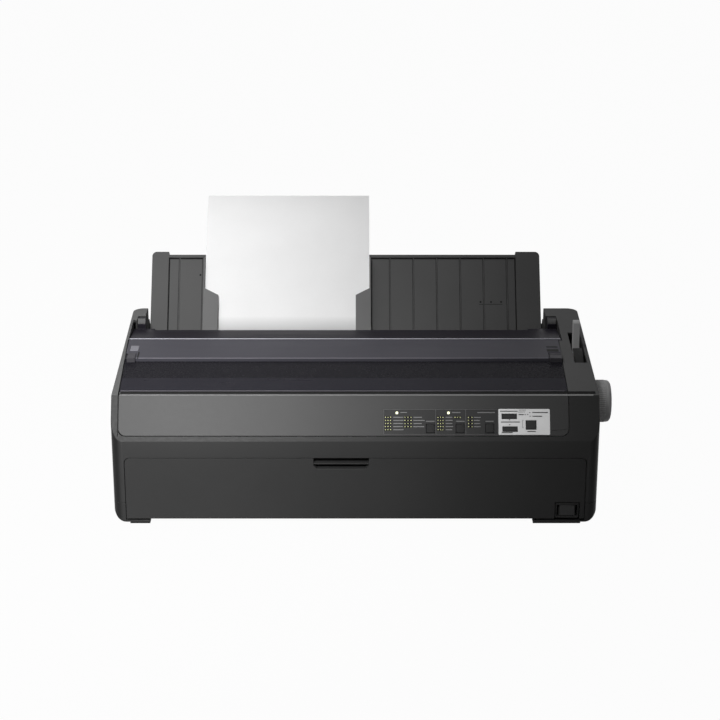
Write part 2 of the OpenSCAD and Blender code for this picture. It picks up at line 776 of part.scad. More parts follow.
// one edge guide for the sheet edge at x; side is -1 on the left and 1 on the right
module edge_guide(x, side) place() color("#606264") {
    base_z = rib_h + slip;
    wing_z = sheet_z + edge_gap;
    translate([x, 0, 0]) scale([side, 1, 1]) on_guide() {
        translate([-edge_base_w + edge_gap_x, 3, base_z])
            cube([edge_base_w + edge_wall, guide_len - 9, edge_base_t]);
        translate([edge_gap_x, 3, base_z]) cube([edge_wall, guide_len - 9, wing_z + edge_base_t - base_z]);
        translate([0, 0, wing_z]) linear_extrude(edge_base_t) polygon([[edge_gap_x + edge_wall, 3],
            [edge_gap_x + edge_wall, wing_top[0]], [edge_gap_x + edge_wall - wing_w, wing_top[1]],
            [edge_gap_x + edge_wall - wing_w, 3]]);
    }
}
module edge_guide_left() edge_guide(sheet_l, -1);
module edge_guide_right() edge_guide(sheet_r, 1);

// points of the path moved sideways by d
function side_step(p, d) = [for (i = [0 : len(p) - 1])
    let (a = p[max(i - 1, 0)], b = p[min(i + 1, len(p) - 1)], v = unit(b - a)) p[i] + d * [-v.y, v.x]];

module paper_sheet() place() color("white") {
    along_x(sheet_l, sheet_r) polygon(concat(side_step(sheet_path, sheet_t / 2),
        [for (i = [len(sheet_path) - 1 : -1 : 0]) side_step(sheet_path, -sheet_t / 2)[i]]));
}

// the chute under the sheet, from below the guide to the platen
module paper_chute() place() color("#303032") {
    path = [for (i = [0 : bend_steps + 1]) sheet_path[i]];
    upper = concat([[chute_y0, path[0].y]], path);
    along_x(frame_span[0], frame_span[1]) polygon(concat(side_step(upper, -chute_gap),
        [for (i = [len(upper) - 1 : -1 : 0]) side_step(upper, -chute_gap - 1.6)[i]]));
}

// ---------- frames, shafts and platen ----------

// a frame plate at x; its feet turn outwards over foot_x
module side_frame(x, foot_x) {
    difference() {
        union() {
            along_x(x, x + frame_t) polygon(frame_outline);
            for (y = [60, 250]) block(foot_x, [y, y + 30], [floor_z, floor_z + frame_t]);
        }
        rod(x - 1, x + frame_t + 1, bush_r, platen_at);
        rod(x - 1, x + frame_t + 1, guide_shaft_r, guide_shaft_at);
        rod(x - 1, x + frame_t + 1, press_r + run, press_at);
        rod(x - 1, x + frame_t + 1, journal_r + run, tractor_at);
        rod(x - 1, x + frame_t + 1, rail_r, rail_at);
    }
}
module side_frame_left() place() color("#9a9c9e")
    side_frame(frame_left, [frame_left - tie_size, frame_left + frame_t]);
module side_frame_right() place() color("#9a9c9e")
    side_frame(frame_right, [frame_right, frame_right + tie_size]);

// bent plate between the frames that carries the carriage's front foot and its motor
module front_rail() place() color("#9a9c9e") {
    difference() {
        union() {
            block(frame_span, [42, 72], [rail_top - rail_plate, rail_top]);
            block(frame_span, [72 - rail_plate, 72], [rail_top - 14, rail_top]);
        }
        for (x = [drive_x, return_x])
            translate([x, pulley_y, rail_top - 3]) cylinder(h = 4, r = axle_r + 1);
    }
}

module platen_roller() place() color("#202022") {
    difference() {
        rod(platen_x[0], platen_x[1], platen_r, platen_at);
        rod(platen_x[0] - 1, platen_x[1] + 1, shaft_r, platen_at);
    }
}
module platen_shaft() place() color("#b8babc")
    rod(frame_left - 4, knob_x0 + knob_len - 7, shaft_r, platen_at);
module platen_gear() place() color("#e6e2d4") gear(platen_teeth, platen_at, 0, shaft_r);

module platen_knob() place() color("#58585a") {
    r = 5;
    translate([knob_x0, platen_y, platen_z]) rotate([0, 90, 0]) difference() {
        rotate_extrude() {
            square([knob_r, knob_len - r]);
            square([knob_r - r, knob_len]);
            translate([knob_r - r, knob_len - r]) circle(r);
        }
        translate([0, 0, -1]) cylinder(h = knob_len - 6, r = shaft_r);
    }
}

module platen_bushes() place() color("#d8d4c8") {
    for (x = [frame_left, frame_right]) difference() {
        union() {
            rod(x, x + frame_t, bush_r, platen_at);
            rod(x < 0 ? x - 1.5 : x + frame_t, x < 0 ? x : x + frame_t + 1.5, bush_r + 2.5, platen_at);
        }
        rod(x - 4, x + frame_t + 4, shaft_r + run, platen_at);
    }
}

module pressure_rollers() place() color("#3a3a3c") {
    rod(frame_left - 1, frame_right + frame_t + 1, press_r, press_at);
    for (k = [0 : 4]) let (x = frame_left + 48 + k * press_step)
        rod(x, x + press_len, press_roll_r, press_at);
}

// ---------- feed drive ----------

module feed_motor() place() color("#7c7e80") {
    x0 = gear_x + gear_w + 1.5;
    rod(x0, x0 + 22, motor_r, pinion_at);
    rod(gear_x, x0 + 1, axle_r, pinion_at);
    for (a = [-30, 150]) {
        at = pinion_at + polar(24, a);
        rod(frame_right + frame_t, x0 + 1, 3, at);
        rod(x0, x0 + 2, 5, at);
        along_x(x0, x0 + 2) translate(pinion_at) rotate(a) translate([0, -5]) square([24, 10]);
    }
}
module feed_pinion() place() color("#c9a24a") gear(pinion_teeth, pinion_at, pinion_turn, axle_r + run);
module idler_gear() place() color("#e6e2d4") gear(idler_teeth, idler_at, idler_turn, stud_r + run);
module tractor_gear() place() color("#e6e2d4") gear(tractor_teeth, tractor_at, tractor_turn, journal_r);

// stud of the idler gear, on the frame, and pivot of the release lever, on the case wall
module stub_pins() place() color("#b8babc") {
    rod(frame_right + frame_t, gear_x + gear_w + 2, stud_r, idler_at);
    rod(frame_right + frame_t, gear_x - 0.4, stud_r + 2, idler_at);
    rod(gear_x + gear_w + 0.4, gear_x + gear_w + 2, stud_r + 2, idler_at);
    rod(lever_x - 8, half_w - wall, lever_pin_r, lever_at);
    rod(lever_x - 8.6, lever_x - 6.6, lever_pin_r + 2, lever_at);
}

// ---------- tractors ----------

module tractor_shaft() place() color("#b8babc") {
    rod(frame_left - 2, frame_span[0] + 6, journal_r, tractor_at);
    rod(frame_span[1] - 8, gear_x + gear_w + 1, journal_r, tractor_at);
    block([frame_span[0] + 5, frame_span[1] - 7], about(tractor_at.x, square_w / 2),
        about(tractor_at.y, square_w / 2));
}
module tractor_rail() place() color("#b8babc")
    rod(frame_left, frame_right + frame_t, rail_r, rail_at);

module tractor(x) place() color("#2f6f8f") {
    difference() {
        along_x(x - tractor_w / 2, x + tractor_w / 2)
            soft_rect(tractor_at + [-13, -11], tractor_at + [31, 11], 5);
        block(about(x, sprocket_w / 2 + slip), about(tractor_at.x, 14), about(tractor_at.y, 12));
        rod(x - tractor_w, x + tractor_w, journal_r + 1.6, tractor_at);
        rod(x - tractor_w, x + tractor_w, rail_r + run, rail_at);
    }
}
module tractor_left() tractor(tractor_left_x);
module tractor_right() tractor(tractor_right_x);

module sprocket(x) place() color("#e0e0e0") {
    translate([x - sprocket_w / 2, tractor_at.x, tractor_at.y]) rotate([90, 0, 90]) difference() {
        union() {
            cylinder(h = sprocket_w, r = sprocket_r);
            for (k = [0 : 5]) rotate(k * 60) translate([sprocket_r - 1, 0, sprocket_w / 2])
                rotate([0, 90, 0]) cylinder(h = 2.6, r = 1.6);
        }
        translate([0, 0, -1]) linear_extrude(sprocket_w + 2) square(square_w + 2 * slip, center = true);
    }
}
module sprocket_left() sprocket(tractor_left_x);
module sprocket_right() sprocket(tractor_right_x);

// ---------- carriage ----------

module carriage_shaft() place() color("#b8babc")
    rod(frame_left - 9, frame_right + frame_t, guide_shaft_r, guide_shaft_at);

module carriage() place() color("#28282a") {
    cx = [carriage_x - carriage_w / 2, carriage_x + carriage_w / 2];
    difference() {
        union() {
            block(cx, [guide_shaft_at.x - 14, guide_shaft_at.x + 16],
                [guide_shaft_at.y - guide_shaft_r - 4, carriage_top]);
            block(cx + [6, -6], [pulley_y + pulley_r + belt_t + 2 * slip, guide_shaft_at.x - 13],
                [rail_top + slip, guide_shaft_at.y]);
        }
        rod(cx[0] - 1, cx[1] + 1, guide_shaft_r + run, guide_shaft_at);
    }
}

module print_head() place() color("#8a8c8e") {
    y0 = guide_shaft_at.x - 16;
    translate([carriage_x, 0, platen_z]) {
        for (k = [0 : 3]) translate([0, y0 + 6 * k + 4, 0]) rotate([90, 0, 0]) cylinder(h = 3, r = head_r);
        translate([0, y0 + 25, 0]) rotate([90, 0, 0]) cylinder(h = 25, r = head_r - 4);
        block([-7, 7], [y0 + 20, nose_y - 6], [-8, 8]);
        block([-3.5, 3.5], [y0 + 20, nose_y], [-6, 6]);
        block([-12, 12], [y0 + 2, y0 + 24], [carriage_top - platen_z, -6]);
    }
}

module ribbon_cartridge() place() color("#1e1e20") {
    block(cartridge_x, cartridge_y, cartridge_z);
    for (x = [[cartridge_x[0], arm_in[0]], [arm_in[1], cartridge_x[1]]])
        block(x, [cartridge_y[1] - 1, ribbon_y], [band_z[0] - 2, cartridge_z[1] - 2]);
    for (x = [[frame_span[0], cartridge_x[0] + 1], [cartridge_x[1] - 1, frame_span[1]]])
        block(x, cartridge_y + [6, -8], cartridge_z + [4, -8]);
    translate([knob_at.x, knob_at.y, cartridge_z[1] - 1]) cylinder(h = 4, r = 2);
}
module ribbon_band() place() color("#101012")
    block([cartridge_x[0] + 2, cartridge_x[1] - 2], [ribbon_y, ribbon_y + ribbon_t], band_z);

module ribbon_knob() place() color("#5a5c60") {
    translate([knob_at.x, knob_at.y, cartridge_z[1] + slip]) difference() {
        cylinder(h = 8, r = 9);
        translate([0, 0, -1]) cylinder(h = 5, r = 2 + run);
        for (k = [0 : 5]) rotate(60 * k) translate([9.6, 0, 3]) cylinder(h = 6, r = 1.6);
    }
}

module belt_outline(r) {
    translate([drive_x, pulley_y - r]) square([return_x - drive_x, 2 * r]);
    for (x = [drive_x, return_x]) translate([x, pulley_y]) circle(r);
}
module carriage_belt() place() color("#141414") {
    translate([0, 0, belt_z]) linear_extrude(belt_h) difference() {
        belt_outline(pulley_r + slip + belt_t);
        belt_outline(pulley_r + slip);
    }
}
module carriage_motor() place() color("#7c7e80") {
    translate([drive_x, pulley_y, rail_top - rail_plate - 38]) {
        cylinder(h = 38, r = belt_motor_r);
        cylinder(h = 38 + rail_plate + belt_h + 3, r = axle_r);
    }
    translate([return_x, pulley_y, rail_top - rail_plate - 3]) {
        cylinder(h = 3, r = 6);
        cylinder(h = 3 + rail_plate + belt_h + 3, r = axle_r);
    }
}
module pulley(x) place() color("#c8c8ca") {
    translate([x, pulley_y, belt_z - 1]) difference() {
        union() {
            cylinder(h = belt_h + 2, r = pulley_r);
            cylinder(h = 0.8, r = pulley_r + 1);
        }
        translate([0, 0, -1]) cylinder(h = belt_h + 4, r = axle_r + run);
        translate([pulley_r - 2.5, 0, belt_h - 1]) cylinder(h = 5, r = 1);
    }
}
module drive_pulley() pulley(drive_x);
module idler_pulley() pulley(return_x);

// ---------- levers ----------

module release_lever() place() color("#6a6a6c") {
    x0 = lever_x - lever_w / 2;
    x1 = lever_x + lever_w / 2;
    reach = (lever_tip_h - lever_at.y) / cos(lever_back);
    difference() {
        union() {
            rod(x0 - 1, x1 + 1, 8, lever_at);
            along_x(x0, x1) translate(lever_at) rotate(-lever_back) {
                translate([-4.2, 0]) square([8.4, reach - 4.2]);
                translate([0, reach - 4.2]) circle(4.2);
            }
            along_x(x0 - 1, x1 + 1) translate(lever_at) intersection() {
                difference() {
                    circle(sector_r);
                    circle(sector_r - 4);
                }
                polygon([[0, 0], polar(2 * sector_r, 90 - lever_back + 6),
                    polar(2 * sector_r, 90 - lever_back + sector_turn)]);
            }
            along_x(x0, x1) translate(lever_at) rotate(-lever_back + sector_turn - 3)
                translate([-2, 0]) square([4, sector_r - 1]);
        }
        rod(x0 - 2, x1 + 2, lever_pin_r + run, lever_at);
    }
}

module head_gap_lever() place() color("#4a5a70") {
    x = frame_left - slip;
    difference() {
        union() {
            rod(x - 7, x, guide_shaft_r + 4, guide_shaft_at);
            along_x(x - 6, x - 1) translate(guide_shaft_at) rotate(12) {
                translate([-4, 0]) square([8, gap_lever_len]);
                translate([0, gap_lever_len]) circle(4);
            }
        }
        rod(x - 8, x + 1, guide_shaft_r + run, guide_shaft_at);
    }
}

// ---------- electronics ----------

module main_board() place() color("#1f5a38") {
    block(board_x, board_y, [board_top - board_t, board_top]);
    translate([board_x[0], board_y[0], board_top]) {
        translate([76, 45, 0]) cube([40, 40, 3]);
        translate([156, 35, 0]) cube([40, 30, 3]);
        for (k = [0 : 3]) translate([226 + 14 * k, 20, 0]) cylinder(h = 12, r = 5);
        translate([16, 10, 0]) cube([40, 8, 9]);
    }
}

module power_supply() place() color("#a9abad") {
    difference() {
        block(supply_x, supply_y, [floor_z, floor_z + supply_h]);
        block(supply_x + [1.5, -1.5], supply_y + [1.5, -1.5], [floor_z + 1.5, floor_z + supply_h - 1.5]);
        for (k = [0 : 7]) block([supply_x[0] + 10 + 9 * k, supply_x[0] + 14 + 9 * k],
            [supply_y[0] + 20, supply_y[1] - 40], [floor_z + supply_h - 2, floor_z + supply_h + 1]);
    }
    block([supply_x[0] + 15, supply_x[1] - 15], [supply_y[0] + 15, supply_y[0] + 45],
        [floor_z + 1, floor_z + 30]);
}

module power_inlet() place() color("#1a1a1c") {
    difference() {
        union() {
            block(inlet_x, [supply_y[1], case_d], inlet_z);
            block(inlet_x + [-3, 3], [case_d, case_d + 2], inlet_z + [-3, 3]);
        }
        block(inlet_x + [3, -3], [supply_y[1] + 2, case_d + 3], inlet_z + [3, -3]);
    }
    for (k = [-1, 0, 1]) block(about((inlet_x[0] + inlet_x[1]) / 2 + 7 * k, 1),
        [supply_y[1] + 1, case_d - 3], about((inlet_z[0] + inlet_z[1]) / 2, 3));
}

module port_sockets() place() color("#b0b2b4") {
    for (p = ports) difference() {
        block(p[0], [board_y[1] - 14, case_d + 0.5], [board_top, board_top + p[1]]);
        block(p[0] + [1.5, -1.5], [board_y[1] - 4, case_d + 1], [board_top + 1.5, board_top + p[1] - 1.5]);
    }
}

// ---------- feet and screws ----------

module rubber_feet() place() color("#18181a") {
    block([block_left[0] + 4, block_left[1]], [1, sill_y - 2], [0, foot_h]);
    block([block_right[0], block_right[1] - 4], [1, sill_y - 2], [0, foot_h]);
    for (x = [-half_w + 55, half_w - 55]) translate([x, case_d - 40, 0]) cylinder(h = foot_h, r = 11);
}

module case_screws() place() color("#b8babc") {
    for (p = screw_at) translate([p.x, p.y, screw_seat - 3]) {
        difference() {
            cylinder(h = 3, r = 3.8);
            translate([-3, -0.5, -1]) cube([6, 1, 2]);
        }
        cylinder(h = 26, r = screw_r);
    }
}

lower_case();
upper_case();
control_panel();
select_label();
silver_label();
panel_board();
status_lamps();
front_flap();
window_cover();
rear_cover();
paper_guide();
edge_guide_left();
edge_guide_right();
paper_sheet();
paper_chute();
side_frame_left();
side_frame_right();
front_rail();
platen_roller();
platen_shaft();
platen_gear();
platen_knob();
platen_bushes();
feed_motor();
feed_pinion();
idler_gear();
stub_pins();
tractor_shaft();
tractor_gear();
tractor_rail();
tractor_left();
tractor_right();
sprocket_left();
sprocket_right();
carriage_shaft();
carriage();
print_head();
ribbon_cartridge();
ribbon_band();
ribbon_knob();
carriage_belt();
carriage_motor();
drive_pulley();
idler_pulley();
pressure_rollers();
release_lever();
head_gap_lever();
select_button_left();
select_button_middle();
select_button_right();
load_button();
feed_button();
pause_button();
power_rocker();
main_board();
power_supply();
power_inlet();
port_sockets();
rubber_feet();
case_screws();
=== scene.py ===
"""Looks of a wide-carriage dot matrix printer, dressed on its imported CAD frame."""

import json
import logging
import math
from abc import ABC, abstractmethod
from dataclasses import dataclass
from enum import Enum
from typing import Any, Iterable, Mapping, Sequence

import bmesh
import bpy
from mathutils import Matrix, Vector

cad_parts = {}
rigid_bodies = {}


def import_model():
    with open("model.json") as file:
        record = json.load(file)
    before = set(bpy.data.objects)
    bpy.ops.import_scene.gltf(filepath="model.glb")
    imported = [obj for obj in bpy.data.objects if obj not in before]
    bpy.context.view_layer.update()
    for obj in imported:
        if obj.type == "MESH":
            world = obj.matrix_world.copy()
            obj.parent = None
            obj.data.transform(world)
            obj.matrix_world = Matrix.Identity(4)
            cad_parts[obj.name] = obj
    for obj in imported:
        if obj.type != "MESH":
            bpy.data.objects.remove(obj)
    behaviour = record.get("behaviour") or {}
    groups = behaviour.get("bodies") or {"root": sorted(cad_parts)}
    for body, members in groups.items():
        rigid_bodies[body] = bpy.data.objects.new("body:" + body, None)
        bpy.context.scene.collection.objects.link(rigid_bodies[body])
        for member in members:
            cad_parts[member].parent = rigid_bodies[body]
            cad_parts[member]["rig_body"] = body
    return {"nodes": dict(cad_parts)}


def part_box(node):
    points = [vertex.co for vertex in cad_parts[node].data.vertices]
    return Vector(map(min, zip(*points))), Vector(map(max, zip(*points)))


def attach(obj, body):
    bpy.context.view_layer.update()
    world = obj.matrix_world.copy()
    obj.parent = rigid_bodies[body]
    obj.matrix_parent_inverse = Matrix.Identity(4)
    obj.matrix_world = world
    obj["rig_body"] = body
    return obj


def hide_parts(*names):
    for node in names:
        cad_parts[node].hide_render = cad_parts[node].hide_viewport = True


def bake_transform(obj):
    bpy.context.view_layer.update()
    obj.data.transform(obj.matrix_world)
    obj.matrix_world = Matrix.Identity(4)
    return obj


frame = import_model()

LOG = logging.getLogger("printer")
MM = 0.001
Colour = tuple[float, float, float, float]
Pair = tuple[float, float]
Triple = tuple[float, float, float]
Quad = tuple[float, float, float, float]
Block = tuple[Triple, Triple]
Rod = tuple[Triple, Triple, float]
Inputs = Mapping[int | str, Any]
Node = bpy.types.Node
NodeTree = bpy.types.NodeTree
Socket = bpy.types.NodeSocket
Piece = bpy.types.Object
BMesh = bmesh.types.BMesh


def srgb(red: float, green: float, blue: float) -> Colour:
    """Turns a screen colour into the linear colour that a shader takes.

    Args:
        red: Red, 0 to 255.
        green: Green, 0 to 255.
        blue: Blue, 0 to 255.

    Returns:
        The linear colour with full alpha.
    """
    linear = []
    for level in (red, green, blue):
        share = level / 255
        linear.append(share / 12.92 if share <= 0.04045 else ((share + 0.055) / 1.055) ** 2.4)
    return (linear[0], linear[1], linear[2], 1.0)


def grey(level: float) -> Colour:
    """Returns the linear colour of a neutral screen grey, 0 to 255."""
    return srgb(level, level, level)


DUST_GREY = grey(120)
RUBBED_GAIN = 2.0
RUBBED_LIFT = 0.01


# ---------------------------------------------------------------- places


@dataclass(frozen=True)
class Datum:
    """Where the printer stands in the row frame, in metres, and its two leaning faces."""

    mid_x: float
    front_y: float
    fascia_height: float = 102.5
    slope_depth: float = 26.5
    slope_rise: float = 47.0
    guide_foot: Pair = (278.8, 139.8)
    guide_lean: float = 55.0
    band_ends: tuple[Pair, Pair] = ((120.0, 160.7), (181.0, 163.6))

    @classmethod
    def of_case(cls) -> "Datum":
        """Reads the middle and the front face of the upper case."""
        low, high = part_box("upper_case")
        return cls((low.x + high.x) / 2, low.y)

    def point(self, x: float, y: float, z: float) -> Vector:
        """Returns the place of a point given in millimetres from the front face's middle."""
        return Vector((self.mid_x + x * MM, self.front_y + y * MM, z * MM))

    def level(self, x: float, y: float, z: float) -> Matrix:
        """Returns the placing of a piece that is drawn upright about a point in millimetres."""
        return Matrix.Translation(self.point(x, y, z))

    def slope(self) -> Matrix:
        """Returns the placing of the sloping front: x across, y up the slope, z out of it."""
        lean = math.atan2(self.slope_rise, self.slope_depth)
        return self.level(0, 0, self.fascia_height) @ Matrix.Rotation(lean, 4, "X")

    def band(self) -> Matrix:
        """Returns the placing of the rear cover's broad face: x across, y back, z out of it."""
        (front, low), (back, high) = self.band_ends
        lean = math.atan2(high - low, back - front)
        return self.level(0, front, low) @ Matrix.Rotation(lean, 4, "X")

    def guide(self) -> Matrix:
        """Returns the placing of the paper guide's face: x across, y up it, z out of it."""
        turn = Matrix.Rotation(math.radians(self.guide_lean), 4, "X")
        return self.level(0, *self.guide_foot) @ turn


# ---------------------------------------------------------------- node trees


class SocketKind(Enum):
    """Kinds of socket that the node groups show on their outside."""

    VALUE = "NodeSocketFloat"
    COUNT = "NodeSocketInt"
    COLOUR = "NodeSocketColor"
    VECTOR = "NodeSocketVector"
    SHAPE = "NodeSocketGeometry"
    FINISH = "NodeSocketMaterial"


VALUE, COUNT, COLOUR, VECTOR, SHAPE, FINISH = SocketKind


@dataclass(frozen=True)
class Port:
    """One outside socket of a node group."""

    name: str
    kind: SocketKind = VALUE
    start: Any = None


class Tree:
    """A node tree under construction."""

    def __init__(self, tree: NodeTree) -> None:
        """Takes the empty tree to fill."""
        self.tree = tree

    def feed(self, node: Node, inputs: Inputs) -> Node:
        """Gives a node its inputs.

        Args:
            node: The node.
            inputs: A value or a socket for each input, by name or number.

        Returns:
            The same node.
        """
        for name, value in inputs.items():
            if isinstance(value, Socket):
                self.tree.links.new(value, node.inputs[name])
            else:
                node.inputs[name].default_value = value
        return node

    def add(self, kind: str, inputs: Inputs | None = None, **settings: Any) -> Node:
        """Adds a node.

        Args:
            kind: The node's type.
            inputs: A value or a socket for each input, by name or number.
            **settings: The node's own properties.

        Returns:
            The new node.
        """
        node = self.tree.nodes.new(kind)
        for name, value in settings.items():
            setattr(node, name, value)
        return self.feed(node, inputs or {})

    def math(self, operation: str, first: Any, second: Any = 0.0, clamp: bool = False) -> Socket:
        """Adds a Math node and returns its result."""
        inputs = {0: first, 1: second}
        return self.add("ShaderNodeMath", inputs, operation=operation, use_clamp=clamp).outputs[0]

    def times(self, first: Any, second: Any) -> Socket:
        """Returns the product of two values."""
        return self.math("MULTIPLY", first, second)

    def vector(self, operation: str, first: Any, second: Any) -> Socket:
        """Adds a Vector Math node and returns its result."""
        node = self.add("ShaderNodeVectorMath", {0: first, 1: second}, operation=operation)
        return node.outputs["Value" if operation == "DOT_PRODUCT" else "Vector"]

    def scaled(self, vector: Any, factor: Any) -> Socket:
        """Returns a vector or a colour times a value."""
        node = self.add("ShaderNodeVectorMath", {0: vector, "Scale": factor}, operation="SCALE")
        return node.outputs[0]

    def combined(self, x: Any, y: Any, z: Any = 0.0) -> Socket:
        """Returns the vector of three values."""
        return self.add("ShaderNodeCombineXYZ", {0: x, 1: y, 2: z}).outputs[0]

    def split(self, vector: Any) -> Any:
        """Returns the X, Y and Z of a vector, by name."""
        return self.add("ShaderNodeSeparateXYZ", {0: vector}).outputs

    def normal(self) -> Socket:
        """Returns the surface's normal."""
        return self.add("ShaderNodeNewGeometry").outputs["Normal"]

    def blend(self, share: Any, first: Any, second: Any) -> Socket:
        """Adds a colour Mix node and returns its result."""
        return self.add("ShaderNodeMix", {0: share, 6: first, 7: second}, data_type="RGBA").outputs[2]

    def remap(self, value: Any, low: Any, high: Any, to_low: Any = 0.0, to_high: Any = 1.0) -> Socket:
        """Adds a clamped Map Range node and returns its result."""
        inputs = {0: value, 1: low, 2: high, 3: to_low, 4: to_high}
        return self.add("ShaderNodeMapRange", inputs).outputs[0]

    def noise(self, place: Any, scale: Any, detail: float = 2.0) -> Socket:
        """Adds a Noise Texture and returns its factor."""
        inputs = {"Vector": place, "Scale": scale, "Detail": detail}
        return self.add("ShaderNodeTexNoise", inputs).outputs[0]


def start_group(
    name: str, kind: str, inputs: Sequence[Port], outputs: Sequence[Port]
) -> tuple[Tree, Any, Node]:
    """Starts a node group with its outside sockets.

    Args:
        name: The group's name.
        kind: ShaderNodeTree or GeometryNodeTree.
        inputs: The input sockets.
        outputs: The output sockets.

    Returns:
        The tree, what it is given, by name, and its Group Output node.
    """
    group = bpy.data.node_groups.new(name, kind)
    for side, ports in (("INPUT", inputs), ("OUTPUT", outputs)):
        for port in ports:
            socket = group.interface.new_socket(name=port.name, in_out=side, socket_type=port.kind.value)
            if port.start is not None:
                socket.default_value = port.start
    tree = Tree(group)
    return tree, tree.add("NodeGroupInput").outputs, tree.add("NodeGroupOutput")


# ---------------------------------------------------------------- shared shader effects


class Effect(Enum):
    """Surface effects that more than one finish uses, each named after the method that builds it."""

    GRAIN = "moulded_grain"
    TONE = "uneven_tone"
    EDGES = "rubbed_edges"
    DUST = "settled_dust"
    DRAWN = "drawn_lines"


class SharedEffects:
    """Builds each shared shader group once and places it in materials."""

    def __init__(self) -> None:
        """Starts with no group built."""
        self.built: dict[Effect, NodeTree] = {}

    def place(self, tree: Tree, effect: Effect, inputs: Inputs) -> Any:
        """Places an effect in a material.

        Args:
            tree: The material's tree.
            effect: Which effect.
            inputs: The group's inputs.

        Returns:
            What the effect puts out, by name.
        """
        if effect not in self.built:
            self.built[effect] = getattr(self, "_" + effect.value)(effect.value)
        return tree.add("ShaderNodeGroup", inputs, node_tree=self.built[effect]).outputs

    def _start(self, name: str, inputs: Sequence[Port], *outputs: Port) -> tuple[Tree, Any, Node]:
        """Starts a shader group that takes a place and its own inputs."""
        return start_group(name, "ShaderNodeTree", (Port("Vector", VECTOR), *inputs), outputs)

    def _moulded_grain(self, name: str) -> NodeTree:
        """Builds the spark-eroded grain of moulded plastic."""
        tree, given, end = self._start(name, [Port("Grains", start=900.0)], Port("Height"), Port("Fleck"))
        place, scale = given["Vector"], given["Grains"]
        cells = tree.add("ShaderNodeTexVoronoi", {"Vector": place, "Scale": scale})
        pits = tree.remap(cells.outputs["Distance"], 0.1, 0.7)
        fine = tree.noise(place, tree.times(scale, 1.7), detail=3.0)
        height = tree.math("ADD", tree.times(pits, 0.6), tree.times(fine, 0.4))
        fleck = tree.remap(tree.noise(place, tree.times(scale, 0.35)), 0.35, 0.65)
        tree.feed(end, {"Height": height, "Fleck": fleck})
        return tree.tree

    def _uneven_tone(self, name: str) -> NodeTree:
        """Builds the slow change of tone over a large surface."""
        ports = [
            Port("Colour", COLOUR, (0.5, 0.5, 0.5, 1.0)),
            Port("Spread", start=0.06),
            Port("Clouds", start=7.0),
        ]
        tree, given, end = self._start(name, ports, Port("Colour", COLOUR))
        cloud = tree.noise(given["Vector"], given["Clouds"], detail=3.0)
        low = tree.math("SUBTRACT", 1.0, given["Spread"])
        gain = tree.remap(cloud, 0.3, 0.7, low, tree.math("ADD", 1.0, given["Spread"]))
        tree.feed(end, {"Colour": tree.scaled(given["Colour"], gain)})
        return tree.tree

    def _rubbed_edges(self, name: str) -> NodeTree:
        """Builds the softened edge of a moulding and the mask of its rubbed corners."""
        ports = [Port("Width", start=0.0008), Port("Amount", start=0.3)]
        tree, given, end = self._start(name, ports, Port("Mask"), Port("Normal", VECTOR))
        soft = tree.add("ShaderNodeBevel", {"Radius": given["Width"]}, samples=4).outputs[0]
        edge = tree.remap(tree.vector("DOT_PRODUCT", soft, tree.normal()), 0.995, 0.86)
        worn = tree.remap(tree.noise(given["Vector"], 60.0, detail=3.0), 0.42, 0.62)
        mask = tree.times(tree.times(edge, worn), given["Amount"])
        tree.feed(end, {"Mask": mask, "Normal": soft})
        return tree.tree

    def _settled_dust(self, name: str) -> NodeTree:
        """Builds the mask of the dust that lies on surfaces facing up."""
        tree, given, end = self._start(name, [Port("Amount", start=0.1)], Port("Mask"))
        facing = tree.remap(tree.split(tree.normal())["Z"], 0.55, 1.0)
        speck = tree.remap(tree.noise(given["Vector"], 420.0, detail=4.0), 0.45, 0.75)
        drift = tree.noise(given["Vector"], 9.0, detail=3.0)
        mask = tree.times(tree.times(facing, speck), drift)
        tree.feed(end, {"Mask": tree.times(mask, given["Amount"])})
        return tree.tree

    def _drawn_lines(self, name: str) -> NodeTree:
        """Builds the fine lines that rolling, drawing or turning leaves on metal."""
        ports = [Port("Stretch", VECTOR, (1.0, 1.0, 1.0)), Port("Lines", start=1500.0)]
        tree, given, end = self._start(name, ports, Port("Height"), Port("Streak"))
        place = tree.vector("MULTIPLY", given["Vector"], given["Stretch"])
        lines = tree.noise(place, given["Lines"], detail=3.0)
        tree.feed(end, {"Height": lines, "Streak": tree.noise(place, tree.times(given["Lines"], 0.08))})
        return tree.tree


EFFECTS = SharedEffects()


# ---------------------------------------------------------------- finishes


@dataclass(frozen=True)
class Surface:
    """A material under construction, with its shader and the place on the object."""

    tree: Tree
    shader: Node
    place: Socket

    def effect(self, effect: Effect, **inputs: Any) -> Any:
        """Places a shared effect and returns what it puts out, by name."""
        return EFFECTS.place(self.tree, effect, {"Vector": self.place, **inputs})

    def relief(self, height: Any, depth: float, normal: Any = None) -> Socket:
        """Adds a Bump node of a real depth in metres.

        Args:
            height: The height, 0 to 1.
            depth: What height 1 stands for, in metres.
            normal: The normal under it, if it isn't the mesh's own.

        Returns:
            The bumped normal.
        """
        inputs = {"Height": height, "Distance": depth, "Strength": 1.0}
        if normal is not None:
            inputs["Normal"] = normal
        return self.tree.add("ShaderNodeBump", inputs).outputs[0]

    def feed(self, colour: Any, roughness: Any, **more: Any) -> None:
        """Feeds the shader; an input's name is written in small letters with _ for a space."""
        names = {socket.name.lower().replace(" ", "_"): socket.name for socket in self.shader.inputs}
        inputs = {"Base Color": colour, "Roughness": roughness}
        self.tree.feed(self.shader, inputs | {names[name]: value for name, value in more.items()})


